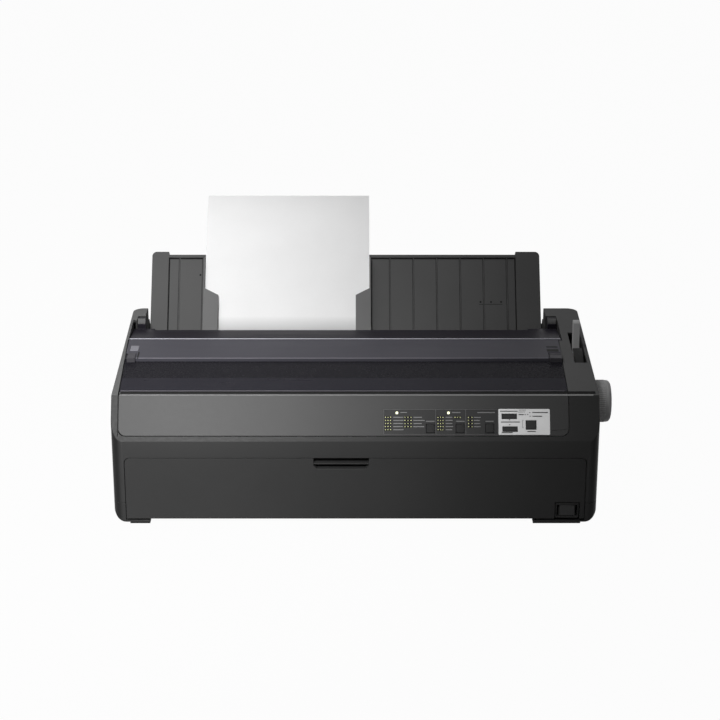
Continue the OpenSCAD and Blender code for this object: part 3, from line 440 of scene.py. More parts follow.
class Finish(ABC):
    """A surface finish that can be built as a material."""

    @abstractmethod
    def dress(self, on: Surface) -> None:
        """Adds the nodes that feed the surface's shader."""

    def material(self, name: str) -> bpy.types.Material:
        """Builds the finish as a material of this name."""
        made = bpy.data.materials.new(name)
        made.use_nodes = True
        made.node_tree.nodes.clear()
        tree = Tree(made.node_tree)
        shader = tree.add("ShaderNodeBsdfPrincipled")
        tree.add("ShaderNodeOutputMaterial", {"Surface": shader.outputs[0]})
        self.dress(Surface(tree, shader, tree.add("ShaderNodeTexCoord").outputs["Object"]))
        return made


@dataclass(frozen=True)
class MouldedPlastic(Finish):
    """Textured moulded plastic with softened edges, uneven tone, a little dust and, where given, painted
    light on faces turned up and painted shade on corners turned aside.
    """

    colour: Colour
    roughness: float = 0.5
    specular: float = 0.1
    depth: float = 0.00002
    rub: float = 0.3
    fleck: float = 0.04
    top_roughness: float | None = None
    painted_top_light: Colour | None = None
    painted_corner_shade: Colour | None = None

    def dress(self, on: Surface) -> None:
        """Feeds tone, rubbed edges, dust and grain into the shader."""
        tree = on.tree
        colour: Any = self.colour
        base: Any = self.roughness
        facing = tree.split(tree.normal())
        if self.top_roughness is not None:
            base = tree.remap(facing["Z"], 0.6, 0.85, self.roughness, self.top_roughness)
            # Faces turned up take the lighter top colour: painted light.
            colour = tree.blend(tree.remap(facing["Z"], 0.6, 0.95), self.colour, self.painted_top_light)
        if self.painted_corner_shade is not None:
            # Corners turned aside take the darker corner colour: painted shade.
            aside = tree.math("ABSOLUTE", facing["X"])
            turned = tree.times(tree.remap(aside, 0.12, 0.5), tree.remap(aside, 0.995, 0.9))
            colour = tree.blend(turned, colour, self.painted_corner_shade)
        tone = on.effect(Effect.TONE, Colour=colour, Spread=0.06)
        edges = on.effect(Effect.EDGES, Width=0.0008, Amount=self.rub)
        grain = on.effect(Effect.GRAIN, Grains=900.0)
        dust = on.effect(Effect.DUST, Amount=0.15)
        paler = tuple(min(1.0, c * RUBBED_GAIN + RUBBED_LIFT) for c in self.colour[:3]) + (1.0,)
        worn = tree.blend(edges["Mask"], tone["Colour"], paler)
        dusty = tree.blend(dust["Mask"], worn, DUST_GREY)
        shift = tree.remap(grain["Fleck"], 0.0, 1.0, -self.fleck, self.fleck)
        normal = on.relief(grain["Height"], self.depth, edges["Normal"])
        rough = tree.math("ADD", shift, base)
        on.feed(dusty, rough, normal=normal, specular_ior_level=self.specular)


@dataclass(frozen=True)
class SmokedPlastic(Finish):
    """Dark see-through plastic, polished, with fine rub marks.

    Past a line across it, going backwards, its colour is darker: painted shade.
    """

    colour: Colour
    cover: float
    roughness: float
    specular: float
    line: float
    painted_shade_colour: Colour
    fade: float = 0.5 * MM

    def dress(self, on: Surface) -> None:
        """Feeds tone, rub marks and softened edges into the shader."""
        tree = on.tree
        # The colour darkens from the line backwards: painted shade.
        painted_shade_mask = tree.remap(tree.split(on.place)["Y"], self.line - self.fade, self.line + self.fade)
        tone = on.effect(Effect.TONE, Colour=tree.blend(painted_shade_mask, self.colour, self.painted_shade_colour), Spread=0.05)
        edges = on.effect(Effect.EDGES, Width=0.0007, Amount=0.35)
        dust = on.effect(Effect.DUST, Amount=0.08)
        marks = on.effect(Effect.DRAWN, Stretch=(0.2, 1.0, 1.0), Lines=700.0)
        worn = tree.blend(edges["Mask"], tone["Colour"], DUST_GREY)
        dusty = tree.blend(dust["Mask"], worn, DUST_GREY)
        rough = tree.remap(marks["Streak"], 0.3, 0.7, self.roughness - 0.03, self.roughness + 0.05)
        on.feed(dusty, rough, normal=edges["Normal"], specular_ior_level=self.specular, alpha=self.cover)


@dataclass(frozen=True)
class DrawnMetal(Finish):
    """Steel, brass or aluminium with the lines of its making."""

    colour: Colour
    roughness: float = 0.3
    stretch: Triple = (1.0, 0.03, 0.03)
    depth: float = 0.000006

    def dress(self, on: Surface) -> None:
        """Feeds the lines into roughness and normal, and dulls the colour in patches."""
        lines = on.effect(Effect.DRAWN, Stretch=self.stretch, Lines=1500.0)
        tone = on.effect(Effect.TONE, Colour=self.colour, Spread=0.1, Clouds=22.0)
        edges = on.effect(Effect.EDGES, Width=0.0003, Amount=0.3)
        rough = on.tree.remap(lines["Streak"], 0.3, 0.7, self.roughness - 0.07, self.roughness + 0.1)
        normal = on.relief(lines["Height"], self.depth, edges["Normal"])
        on.feed(tone["Colour"], rough, normal=normal, metallic=1.0)


@dataclass(frozen=True)
class SoftRubber(Finish):
    """Ground or moulded rubber with a dry bloom."""

    colour: Colour
    roughness: float = 0.7
    depth: float = 0.00002

    def dress(self, on: Surface) -> None:
        """Feeds grain and bloom into the shader."""
        grain = on.effect(Effect.GRAIN, Grains=1600.0)
        tone = on.effect(Effect.TONE, Colour=self.colour, Spread=0.15, Clouds=30.0)
        dust = on.effect(Effect.DUST, Amount=0.3)
        bloom = on.tree.blend(dust["Mask"], tone["Colour"], grey(110))
        rough = on.tree.remap(grain["Fleck"], 0.0, 1.0, self.roughness - 0.05, self.roughness + 0.08)
        on.feed(bloom, rough, normal=on.relief(grain["Height"], self.depth), specular_ior_level=0.2)


@dataclass(frozen=True)
class PrintedFilm(Finish):
    """Thin printed film with a fine satin surface."""

    colour: Colour
    roughness: float = 0.4
    specular: float = 0.1
    metallic: float = 0.0
    depth: float = 0.000005

    def dress(self, on: Surface) -> None:
        """Feeds a satin grain and a slow tone into the shader."""
        tone = on.effect(Effect.TONE, Colour=self.colour, Spread=0.04, Clouds=40.0)
        grain = on.effect(Effect.GRAIN, Grains=2600.0)
        rough = on.tree.remap(grain["Fleck"], 0.0, 1.0, self.roughness - 0.04, self.roughness + 0.05)
        normal = on.relief(grain["Height"], self.depth)
        shine = {"specular_ior_level": self.specular, "metallic": self.metallic}
        on.feed(tone["Colour"], rough, normal=normal, **shine)


@dataclass(frozen=True)
class PaperStock(Finish):
    """Uncoated white paper with its fibres, greyed towards the slot that it comes from by painted shade."""

    colour: Colour
    foot: Colour
    foot_span: Pair

    def dress(self, on: Surface) -> None:
        """Feeds fibres into colour and normal."""
        tree = on.tree
        low, high = (level * MM for level in self.foot_span)
        # The foot colour near the slot is painted shade.
        plain = tree.blend(tree.remap(tree.split(on.place)["Z"], low, high), self.foot, self.colour)
        fibres = on.effect(Effect.DRAWN, Stretch=(1.0, 0.35, 0.35), Lines=2400.0)
        tone = on.effect(Effect.TONE, Colour=plain, Spread=0.012, Clouds=25.0)
        shade = tree.remap(fibres["Height"], 0.3, 0.7, 0.0, 0.05)
        darker = tree.blend(shade, tone["Colour"], grey(150))
        on.feed(darker, 0.85, normal=on.relief(fibres["Height"], 0.00001), specular_ior_level=0.15)


@dataclass(frozen=True)
class LampLens(Finish):
    """A small lit lamp: a bright middle in a tinted lens."""

    colour: Colour
    glow: Colour
    strength: float = 1.2

    def dress(self, on: Surface) -> None:
        """Feeds an uneven glow into the shader."""
        uneven = on.tree.remap(on.tree.noise(on.place, 500.0), 0.3, 0.7, 0.9, 1.0)
        shine = on.tree.blend(uneven, self.colour, self.glow)
        on.feed(self.colour, 0.25, emission_color=shine, emission_strength=self.strength)


@dataclass(frozen=True)
class BoardLacquer(Finish):
    """Circuit board lacquer over copper tracks."""

    colour: Colour
    track: Colour

    def dress(self, on: Surface) -> None:
        """Feeds tracks that run along x and y into colour and normal."""
        sizes = {"Scale": 60.0, "Mortar Size": 0.035, "Brick Width": 0.9, "Row Height": 0.16}
        track = on.tree.add("ShaderNodeTexBrick", {"Vector": on.place, **sizes}).outputs["Fac"]
        tinned = on.tree.blend(track, self.colour, self.track)
        tone = on.effect(Effect.TONE, Colour=tinned, Spread=0.1, Clouds=30.0)
        on.feed(tone["Colour"], 0.35, normal=on.relief(track, 0.00004))


@dataclass(frozen=True)
class InkedWeave(Finish):
    """Woven ribbon fabric, inked."""

    colour: Colour

    def dress(self, on: Surface) -> None:
        """Feeds crossing threads into colour and normal."""
        inputs = {"Vector": on.place, "Scale": 900.0}
        warp, weft = (
            on.tree.add("ShaderNodeTexWave", inputs, bands_direction=way).outputs["Fac"] for way in "XZ"
        )
        weave = on.tree.math("MAXIMUM", warp, weft)
        cloth = on.tree.blend(weave, self.colour, grey(52))
        on.feed(cloth, 0.8, normal=on.relief(weave, 0.00006), sheen_weight=0.2)


DATUM = Datum.of_case()
FINISHES: dict[str, Finish] = {
    # The cases' corner colour is painted shade on corners turned aside.
    "case_lower": MouldedPlastic(grey(63), roughness=0.4, specular=0.055, painted_corner_shade=grey(42)),
    "case_upper": MouldedPlastic(
        grey(66),
        roughness=0.38,
        specular=0.055,
        top_roughness=1.0,
        # The upper case's lighter top colour is painted light on its tops.
        painted_top_light=grey(108),
        painted_corner_shade=grey(42),
    ),
    "panel_plastic": MouldedPlastic(
        grey(69), roughness=0.42, specular=0.152, depth=0.000005, fleck=0.008
    ),
    "dark_label": PrintedFilm(grey(55), roughness=0.42, specular=0.143),
    "silver_film": PrintedFilm(grey(172), roughness=0.45, specular=0.2, metallic=0.75),
    "board_resin": BoardLacquer(srgb(24, 78, 48), track=srgb(52, 120, 74)),
    "lamp_lens": LampLens(srgb(210, 215, 150), srgb(255, 255, 225)),
    "flap_plastic": MouldedPlastic(grey(65), 0.45, 0.054),
    # Both smoked finishes darken past their line: painted shade, on the cover behind the crest.
    "smoked_window": SmokedPlastic(
        srgb(48, 47, 54),
        cover=0.9,
        roughness=0.3,
        specular=0.014,
        line=DATUM.point(0, 72, 0).y,
        painted_shade_colour=srgb(37, 36, 41),
    ),
    "smoked_cover": SmokedPlastic(
        srgb(78, 77, 84),
        cover=0.97,
        roughness=0.35,
        specular=0.027,
        line=DATUM.point(0, 181.5, 0).y,
        painted_shade_colour=srgb(38, 36, 42),
    ),
    "guide_plastic": MouldedPlastic(grey(88), 0.5, 0.027),
    "edge_guide_plastic": MouldedPlastic(grey(111), 0.5, 0.054),
    # The paper's foot colour is painted shade towards the slot.
    "paper": PaperStock(grey(243), foot=grey(200), foot_span=(143.0, 157.0)),
    "chute_plastic": MouldedPlastic(grey(44), 0.55),
    "plated_steel": DrawnMetal(grey(175), 0.35, stretch=(0.04, 1.0, 1.0)),
    "platen_rubber": SoftRubber(grey(34), 0.6),
    "shaft_steel": DrawnMetal(grey(190), 0.22),
    "gear_plastic": MouldedPlastic(srgb(224, 218, 200), 0.5, 0.3, rub=0.1),
    "knob_plastic": MouldedPlastic(grey(206), 0.5, 0.134),
    "bush_plastic": MouldedPlastic(srgb(212, 206, 190), 0.5, 0.3, rub=0.1),
    "motor_steel": DrawnMetal(grey(140), 0.4),
    "pinion_brass": DrawnMetal(srgb(206, 168, 88), 0.3),
    "tractor_plastic": MouldedPlastic(srgb(44, 100, 132), 0.45, 0.3),
    "sprocket_plastic": MouldedPlastic(grey(215), 0.45, 0.3, rub=0.1),
    "carriage_plastic": MouldedPlastic(grey(36), 0.45, 0.2),
    "head_alloy": DrawnMetal(grey(150), 0.42, stretch=(1.0, 0.1, 1.0)),
    "cartridge_plastic": MouldedPlastic(grey(32), 0.4, 0.2),
    "ribbon_fabric": InkedWeave(grey(14)),
    "winder_plastic": MouldedPlastic(grey(96), 0.45, 0.2),
    "belt_rubber": SoftRubber(grey(26), 0.6),
    "pulley_alloy": DrawnMetal(grey(185), 0.3, stretch=(1.0, 1.0, 0.05)),
    "roller_rubber": SoftRubber(grey(52), 0.6),
    "lever_plastic": MouldedPlastic(grey(207), 0.5, 0.134),
    "gap_lever_plastic": MouldedPlastic(srgb(74, 90, 112), 0.45, 0.3),
    "dark_key": MouldedPlastic(grey(42), 0.5, 0.143),
    "grey_key": MouldedPlastic(grey(58), 0.5, 0.143),
    "rocker_plastic": MouldedPlastic(grey(62), 0.45, 0.143),
    "supply_steel": DrawnMetal(grey(165), 0.42, stretch=(0.05, 1.0, 1.0)),
    "inlet_plastic": MouldedPlastic(grey(26), 0.5, 0.2),
    "socket_metal": DrawnMetal(grey(175), 0.35),
    "foot_rubber": SoftRubber(grey(28), 0.75),
    "screw_steel": DrawnMetal(grey(170), 0.3, stretch=(1.0, 1.0, 0.05)),
}
ROUNDED: dict[str, float] = {
    "lower_case": 0.7,
    "upper_case": 0.7,
    "control_panel": 0.6,
    "front_flap": 0.7,
    "window_cover": 0.5,
    "rear_cover": 0.5,
    **dict.fromkeys(("paper_guide", "edge_guide_left", "edge_guide_right"), 0.4),
    **dict.fromkeys(("select_button_left", "select_button_middle", "select_button_right"), 0.4),
    **dict.fromkeys(("load_button", "feed_button", "pause_button"), 0.4),
    "power_rocker": 0.6,
    "release_lever": 0.6,
}


def slot_of(node: str) -> str:
    """Returns the record's material slot of a CAD node, which names its mesh's material."""
    return frame["nodes"][node].data.materials[0].name


def body_of(node: str) -> str:
    """Returns the CAD body that a CAD node rides on."""
    return frame["nodes"][node]["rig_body"]


class Wardrobe:
    """Builds each finish once and dresses the CAD nodes with it."""

    def __init__(self) -> None:
        """Starts with no material built."""
        self.built: dict[str, bpy.types.Material] = {}

    def material(self, name: str, finish: Finish | None = None) -> bpy.types.Material:
        """Returns the material of a slot or of a piece's own finish.

        Args:
            name: The slot's or the finish's name.
            finish: The finish, where it isn't one of the slots'.

        Returns:
            The material, built on its first use.
        """
        if name not in self.built:
            self.built[name] = (finish or FINISHES[name]).material(name)
        return self.built[name]

    def dress_nodes(self) -> None:
        """Gives every CAD node the material of its slot."""
        for name, node in frame["nodes"].items():
            slot = slot_of(name)
            for place in node.material_slots:
                place.link = "OBJECT"
                place.material = self.material(slot)
            LOG.info("dressed %s with %s", name, slot)


WARDROBE = Wardrobe()


# ---------------------------------------------------------------- shapes


def placed(name: str, mesh: bpy.types.Mesh) -> Piece:
    """Puts a mesh into the scene as an object at the origin."""
    piece = bpy.data.objects.new(name, mesh)
    bpy.context.scene.collection.objects.link(piece)
    return piece


def evaluated(piece: Piece, **options: bool) -> bpy.types.Mesh:
    """Returns the mesh that a piece's modifiers give it."""
    bpy.context.view_layer.update()
    graph = bpy.context.evaluated_depsgraph_get()
    return bpy.data.meshes.new_from_object(piece.evaluated_get(graph), depsgraph=graph, **options)


def smooth(shape: BMesh, sharp: float = 40.0) -> None:
    """Shades a shape smooth except over edges sharper than an angle in degrees."""
    for face in shape.faces:
        face.smooth = True
    for edge in shape.edges:
        edge.smooth = len(edge.link_faces) != 2 or edge.calc_face_angle() < math.radians(sharp)


def new_piece(name: str, shape: BMesh, material: bpy.types.Material) -> Piece:
    """Turns a shape into a piece at the origin.

    Args:
        name: The piece's name.
        shape: Its shape in the row frame. It is freed.
        material: Its material.

    Returns:
        The new object.
    """
    mesh = bpy.data.meshes.new(name)
    shape.to_mesh(mesh)
    shape.free()
    mesh.materials.append(material)
    return placed(name, mesh)


def settle(piece: Piece, body: str, slot: str, *nodes: str) -> None:
    """Ties a finished piece to its body and hides the nodes that it stands for.

    Args:
        piece: The finished piece.
        body: The CAD body that it rides on.
        slot: The record's material slot; not used.
        *nodes: The CAD nodes that it replaces.
    """
    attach(piece, body)
    if nodes:
        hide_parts(*nodes)
    LOG.info("%s rides on %s", piece.name, body)


def merged(node: str) -> BMesh:
    """Returns a copy of a CAD node's mesh with its triangles merged into plain faces."""
    shape = bmesh.new()
    shape.from_mesh(frame["nodes"][node].data)
    bmesh.ops.remove_doubles(shape, verts=shape.verts, dist=2e-6)
    flat = math.radians(0.5)
    bmesh.ops.dissolve_limit(shape, angle_limit=flat, verts=shape.verts, edges=shape.edges)
    return shape


def add_block(shape: BMesh, low: Sequence[float], high: Sequence[float]) -> None:
    """Adds a block in millimetres, from its low to its high corner, to a shape in metres."""
    size = [(b - a) * MM for a, b in zip(low, high)]
    middle = [(a + b) / 2 * MM for a, b in zip(low, high)]
    matrix = Matrix.Translation(middle) @ Matrix.Diagonal((*size, 1))
    bmesh.ops.create_cube(shape, size=1, matrix=matrix)


def add_prism(shape: BMesh, place: Matrix, radius: float, height: float, sides: int = 24) -> None:
    """Adds a closed prism about the place's z axis, or a cylinder where it has many sides.

    Args:
        shape: The shape that takes it.
        place: The middle of the prism.
        radius: Its radius in millimetres.
        height: Its height in millimetres.
        sides: The number of its sides.
    """
    bmesh.ops.create_cone(
        shape,
        cap_ends=True,
        segments=sides,
        radius1=radius * MM,
        radius2=radius * MM,
        depth=height * MM,
        matrix=place,
    )


def add_rod(shape: BMesh, start: Sequence[float], end: Sequence[float], radius: float) -> None:
    """Adds a round rod in millimetres, between two points, to a shape in metres."""
    way = Vector(end) - Vector(start)
    middle = Matrix.Translation((Vector(start) + Vector(end)) / 2 * MM)
    add_prism(shape, middle @ way.to_track_quat("Z", "Y").to_matrix().to_4x4(), radius, way.length)


def even_normals(piece: Piece) -> None:
    """Keeps flat faces flat in the shading, up to the rounded edges beside them."""
    weighted = piece.modifiers.new("even_normals", "WEIGHTED_NORMAL")
    weighted.keep_sharp = True
    shaded = evaluated(piece)
    piece.modifiers.remove(weighted)
    piece.data = shaded


# ---------------------------------------------------------------- repeated shapes


class Repeat(Enum):
    """Geometry node trees for shapes that repeat, each named after the method that builds it."""

    FIELD = "field_of_studs"
    WORDS = "rows_of_bars"
    RING = "ring_of_ribs"
    ROW = "row_of_blocks"


class Repeats:
    """Builds each tree once and grows plain meshes from it."""

    def __init__(self) -> None:
        """Starts with no tree built."""
        self.built: dict[Repeat, NodeTree] = {}

    def grow(self, name: str, kind: Repeat, inputs: Mapping[str, Any], place: Matrix) -> Piece:
        """Grows a plain mesh from a tree.

        Args:
            name: The new piece's name.
            kind: Which tree.
            inputs: Its inputs by name: counts, a material, and lengths in metres.
            place: Where the grown mesh goes.

        Returns:
            The grown piece, at the origin.
        """
        if kind not in self.built:
            self.built[kind] = getattr(self, "_" + kind.value)(kind.value)
        tree = self.built[kind]
        seed = placed("seed", bpy.data.meshes.new("seed"))
        modifier = seed.modifiers.new("grow", "NODES")
        modifier.node_group = tree
        for item in tree.interface.items_tree:
            if item.item_type == "SOCKET" and item.in_out == "INPUT" and item.name in inputs:
                modifier[item.identifier] = inputs[item.name]
        seed.update_tag()
        mesh = evaluated(seed, preserve_all_data_layers=True)
        seed.modifiers.remove(modifier)
        bpy.data.objects.remove(seed)
        mesh.name = name
        mesh.transform(place)
        return placed(name, mesh)

    def _begin(self, name: str, *ports: Port) -> tuple[Tree, Any, Node, Socket]:
        """Starts a geometry tree with its own sizes and a Finish, and numbers its points."""
        shape = Port("Shape", SHAPE)
        inputs = (shape, *ports, Port("Finish", FINISH))
        tree, given, end = start_group(name, "GeometryNodeTree", inputs, (shape,))
        return tree, given, end, tree.add("GeometryNodeInputIndex").outputs[0]

    def _finish(
        self, tree: Tree, given: Any, end: Node, count: Any, place: Any, part: Any, **more: Any
    ) -> NodeTree:
        """Puts a part on each of the numbered points and makes it real.

        Args:
            tree: The tree.
            given: What the tree is given, by name.
            end: Its Group Output node.
            count: How many points there are.
            place: Where a point stands, worked out from its number.
            part: The part's geometry.
            **more: The Rotation or the Scale of the parts.

        Returns:
            The finished node tree.
        """
        points = tree.add("GeometryNodePoints", {"Count": count, "Position": place}).outputs[0]
        inputs = {"Points": points, "Instance": part, **more}
        spread = tree.add("GeometryNodeInstanceOnPoints", inputs).outputs[0]
        real = tree.add("GeometryNodeRealizeInstances", {0: spread}).outputs[0]
        inputs = {"Geometry": real, "Material": given["Finish"]}
        dressed = tree.add("GeometryNodeSetMaterial", inputs).outputs[0]
        tree.feed(end, {0: dressed})
        return tree.tree

    def _cube(self, tree: Tree, size: Any) -> Socket:
        """Returns a block of a size."""
        return tree.add("GeometryNodeMeshCube", {"Size": size}).outputs[0]

    def _field_of_studs(self, name: str) -> NodeTree:
        """Builds the grid of small round studs."""
        tree, given, end, index = self._begin(
            name,
            Port("Columns", COUNT, 3),
            Port("Rows", COUNT, 5),
            Port("Column Gap", start=0.003),
            Port("Row Gap", start=0.0035),
            Port("Stud Radius", start=0.0005),
            Port("Stud Height", start=0.0002),
        )
        columns = given["Columns"]
        x = tree.times(tree.math("MODULO", index, columns), given["Column Gap"])
        y = tree.times(tree.math("FLOOR", tree.math("DIVIDE", index, columns)), given["Row Gap"])
        sizes = {"Vertices": 10, "Radius": given["Stud Radius"], "Depth": given["Stud Height"]}
        stud = tree.add("GeometryNodeMeshCylinder", sizes).outputs[0]
        count = tree.times(columns, given["Rows"])
        return self._finish(tree, given, end, count, tree.combined(x, y), stud)

    def _rows_of_bars(self, name: str) -> NodeTree:
        """Builds the rows of plain bars of uneven length that stand for captions."""
        tree, given, end, index = self._begin(
            name,
            Port("Rows", COUNT, 5),
            Port("Row Gap", start=0.0035),
            Port("Shortest", start=0.007),
            Port("Longest", start=0.012),
            Port("Bar Height", start=0.001),
            Port("Bar Depth", start=0.0001),
            Port("Seed", COUNT, 1),
        )
        bar = self._cube(tree, tree.combined(1.0, given["Bar Height"], given["Bar Depth"]))
        inputs = {"Geometry": bar, "Translation": (0.5, 0, 0)}
        moved = tree.add("GeometryNodeTransform", inputs).outputs[0]
        inputs = {2: given["Shortest"], 3: given["Longest"], "Seed": given["Seed"]}
        length = tree.add("FunctionNodeRandomValue", inputs, data_type="FLOAT").outputs[1]
        place = tree.combined(0.0, tree.times(index, given["Row Gap"]))
        scale = tree.combined(length, 1.0, 1.0)
        return self._finish(tree, given, end, given["Rows"], place, moved, Scale=scale)

    def _ring_of_ribs(self, name: str) -> NodeTree:
        """Builds the ribs that stand round a knob."""
        tree, given, end, index = self._begin(
            name,
            Port("Count", COUNT, 60),
            Port("Ring Radius", start=0.025),
            Port("Rib Depth", start=0.001),
            Port("Rib Width", start=0.001),
            Port("Rib Length", start=0.015),
        )
        angle = tree.times(tree.math("DIVIDE", index, given["Count"]), 2 * math.pi)
        x, y = (
            tree.times(tree.math(operation, angle), given["Ring Radius"]) for operation in ("COSINE", "SINE")
        )
        rib = self._cube(tree, tree.combined(given["Rib Depth"], given["Rib Width"], given["Rib Length"]))
        turn = tree.combined(0.0, 0.0, angle)
        return self._finish(tree, given, end, given["Count"], tree.combined(x, y), rib, Rotation=turn)

    def _row_of_blocks(self, name: str) -> NodeTree:
        """Builds the row of equal blocks."""
        tree, given, end, index = self._begin(
            name,
            Port("Count", COUNT, 8),
            Port("Step", VECTOR, (0.01, 0.0, 0.0)),
            Port("Size", VECTOR, (0.002, 0.002, 0.002)),
        )
        place = tree.scaled(given["Step"], index)
        return self._finish(tree, given, end, given["Count"], place, self._cube(tree, given["Size"]))


REPEATS = Repeats()


# ---------------------------------------------------------------- sub-assemblies


@dataclass
class SubAssembly(ABC):
    """A group of pieces that is built together on the printer's datum."""

    datum: Datum

    @abstractmethod
    def build(self) -> None:
        """Builds and settles every piece of the group."""


@dataclass
class PaperSheet(SubAssembly):
    """The sheet: out of the chute, up the guide and bowed over at its free end."""

    width: float = 210.0
    middle: float = -87.0
    thickness: float = 0.3
    lift: float = 3.05
    bend_radius: float = 60.0
    bend_run: float = 23.4
    below: float = 20.0
    guide_length: float = 101.8
    above: float = 94.0
    curl: float = 32.0
    steps: int = 24
    columns: int = 12

    def path(self) -> list[Pair]:
        """Returns the sheet's middle line in millimetres as (y, z), from its lower end."""
        lean = math.radians(self.datum.guide_lean)
        foot = self.datum.guide_foot

        def polar(hub: Pair, radius: float, angle: float) -> Pair:
            """Returns the point at an angle round a hub, from straight below it."""
            return (hub[0] + radius * math.sin(angle), hub[1] - radius * math.cos(angle))

        def up(t: float) -> Pair:
            """Returns the point t millimetres up the guide, at the sheet's lift."""
            y, z = polar(foot, -self.lift, lean)
            return (y + t * math.cos(lean), z + t * math.sin(lean))

        low, high = up(-self.below), up(self.guide_length)
        hub = polar(low, -self.bend_radius, lean)
        shares = [step / self.steps for step in range(self.steps + 1)]
        points = [(hub[0] - self.bend_run, hub[1] - self.bend_radius)]
        points += [polar(hub, self.bend_radius, lean * share) for share in shares]
        run = self.below + self.guide_length
        points += [up(run * share - self.below) for share in shares[1:]]
        turn = math.radians(self.curl)
        radius = self.above / turn
        centre = polar(high, radius, lean)
        return points + [polar(centre, -radius, lean - turn * share) for share in shares[1:]]

    def ring(self, path: Sequence[Pair], number: int) -> list[Vector]:
        """Returns the corners of the sheet's section at one point of its middle line."""
        before, after = path[max(number - 1, 0)], path[min(number + 1, len(path) - 1)]
        way = math.atan2(after[1] - before[1], after[0] - before[0])
        y, z = path[number]
        dy, dz = -math.sin(way) * self.thickness / 2, math.cos(way) * self.thickness / 2
        left = self.middle - self.width / 2
        across = [left + self.width * k / self.columns for k in range(self.columns + 1)]
        front = [self.datum.point(x, y + dy, z + dz) for x in across]
        return front + [self.datum.point(x, y - dy, z - dz) for x in reversed(across)]

    def build(self) -> None:
        """Builds the sheet as one closed skin with its real thickness."""
        path = self.path()
        shape = bmesh.new()
        rings = [
            [shape.verts.new(corner) for corner in self.ring(path, number)] for number in range(len(path))
        ]
        for lower, upper in zip(rings, rings[1:]):
            for k, corner in enumerate(lower):
                after = (k + 1) % len(lower)
                shape.faces.new((corner, lower[after], upper[after], upper[k]))
        shape.faces.new(rings[0])
        shape.faces.new(rings[-1])
        bmesh.ops.recalc_face_normals(shape, faces=shape.faces)
        smooth(shape)
        piece = new_piece("feed_sheet", shape, WARDROBE.material("paper"))
        start = self.datum.point(self.middle, *path[1])
        end = self.datum.point(self.middle, *path[self.steps + 1])
        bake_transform(piece)
        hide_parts("paper_sheet")
        LOG.info("feed_sheet bends between case and paper_guide")


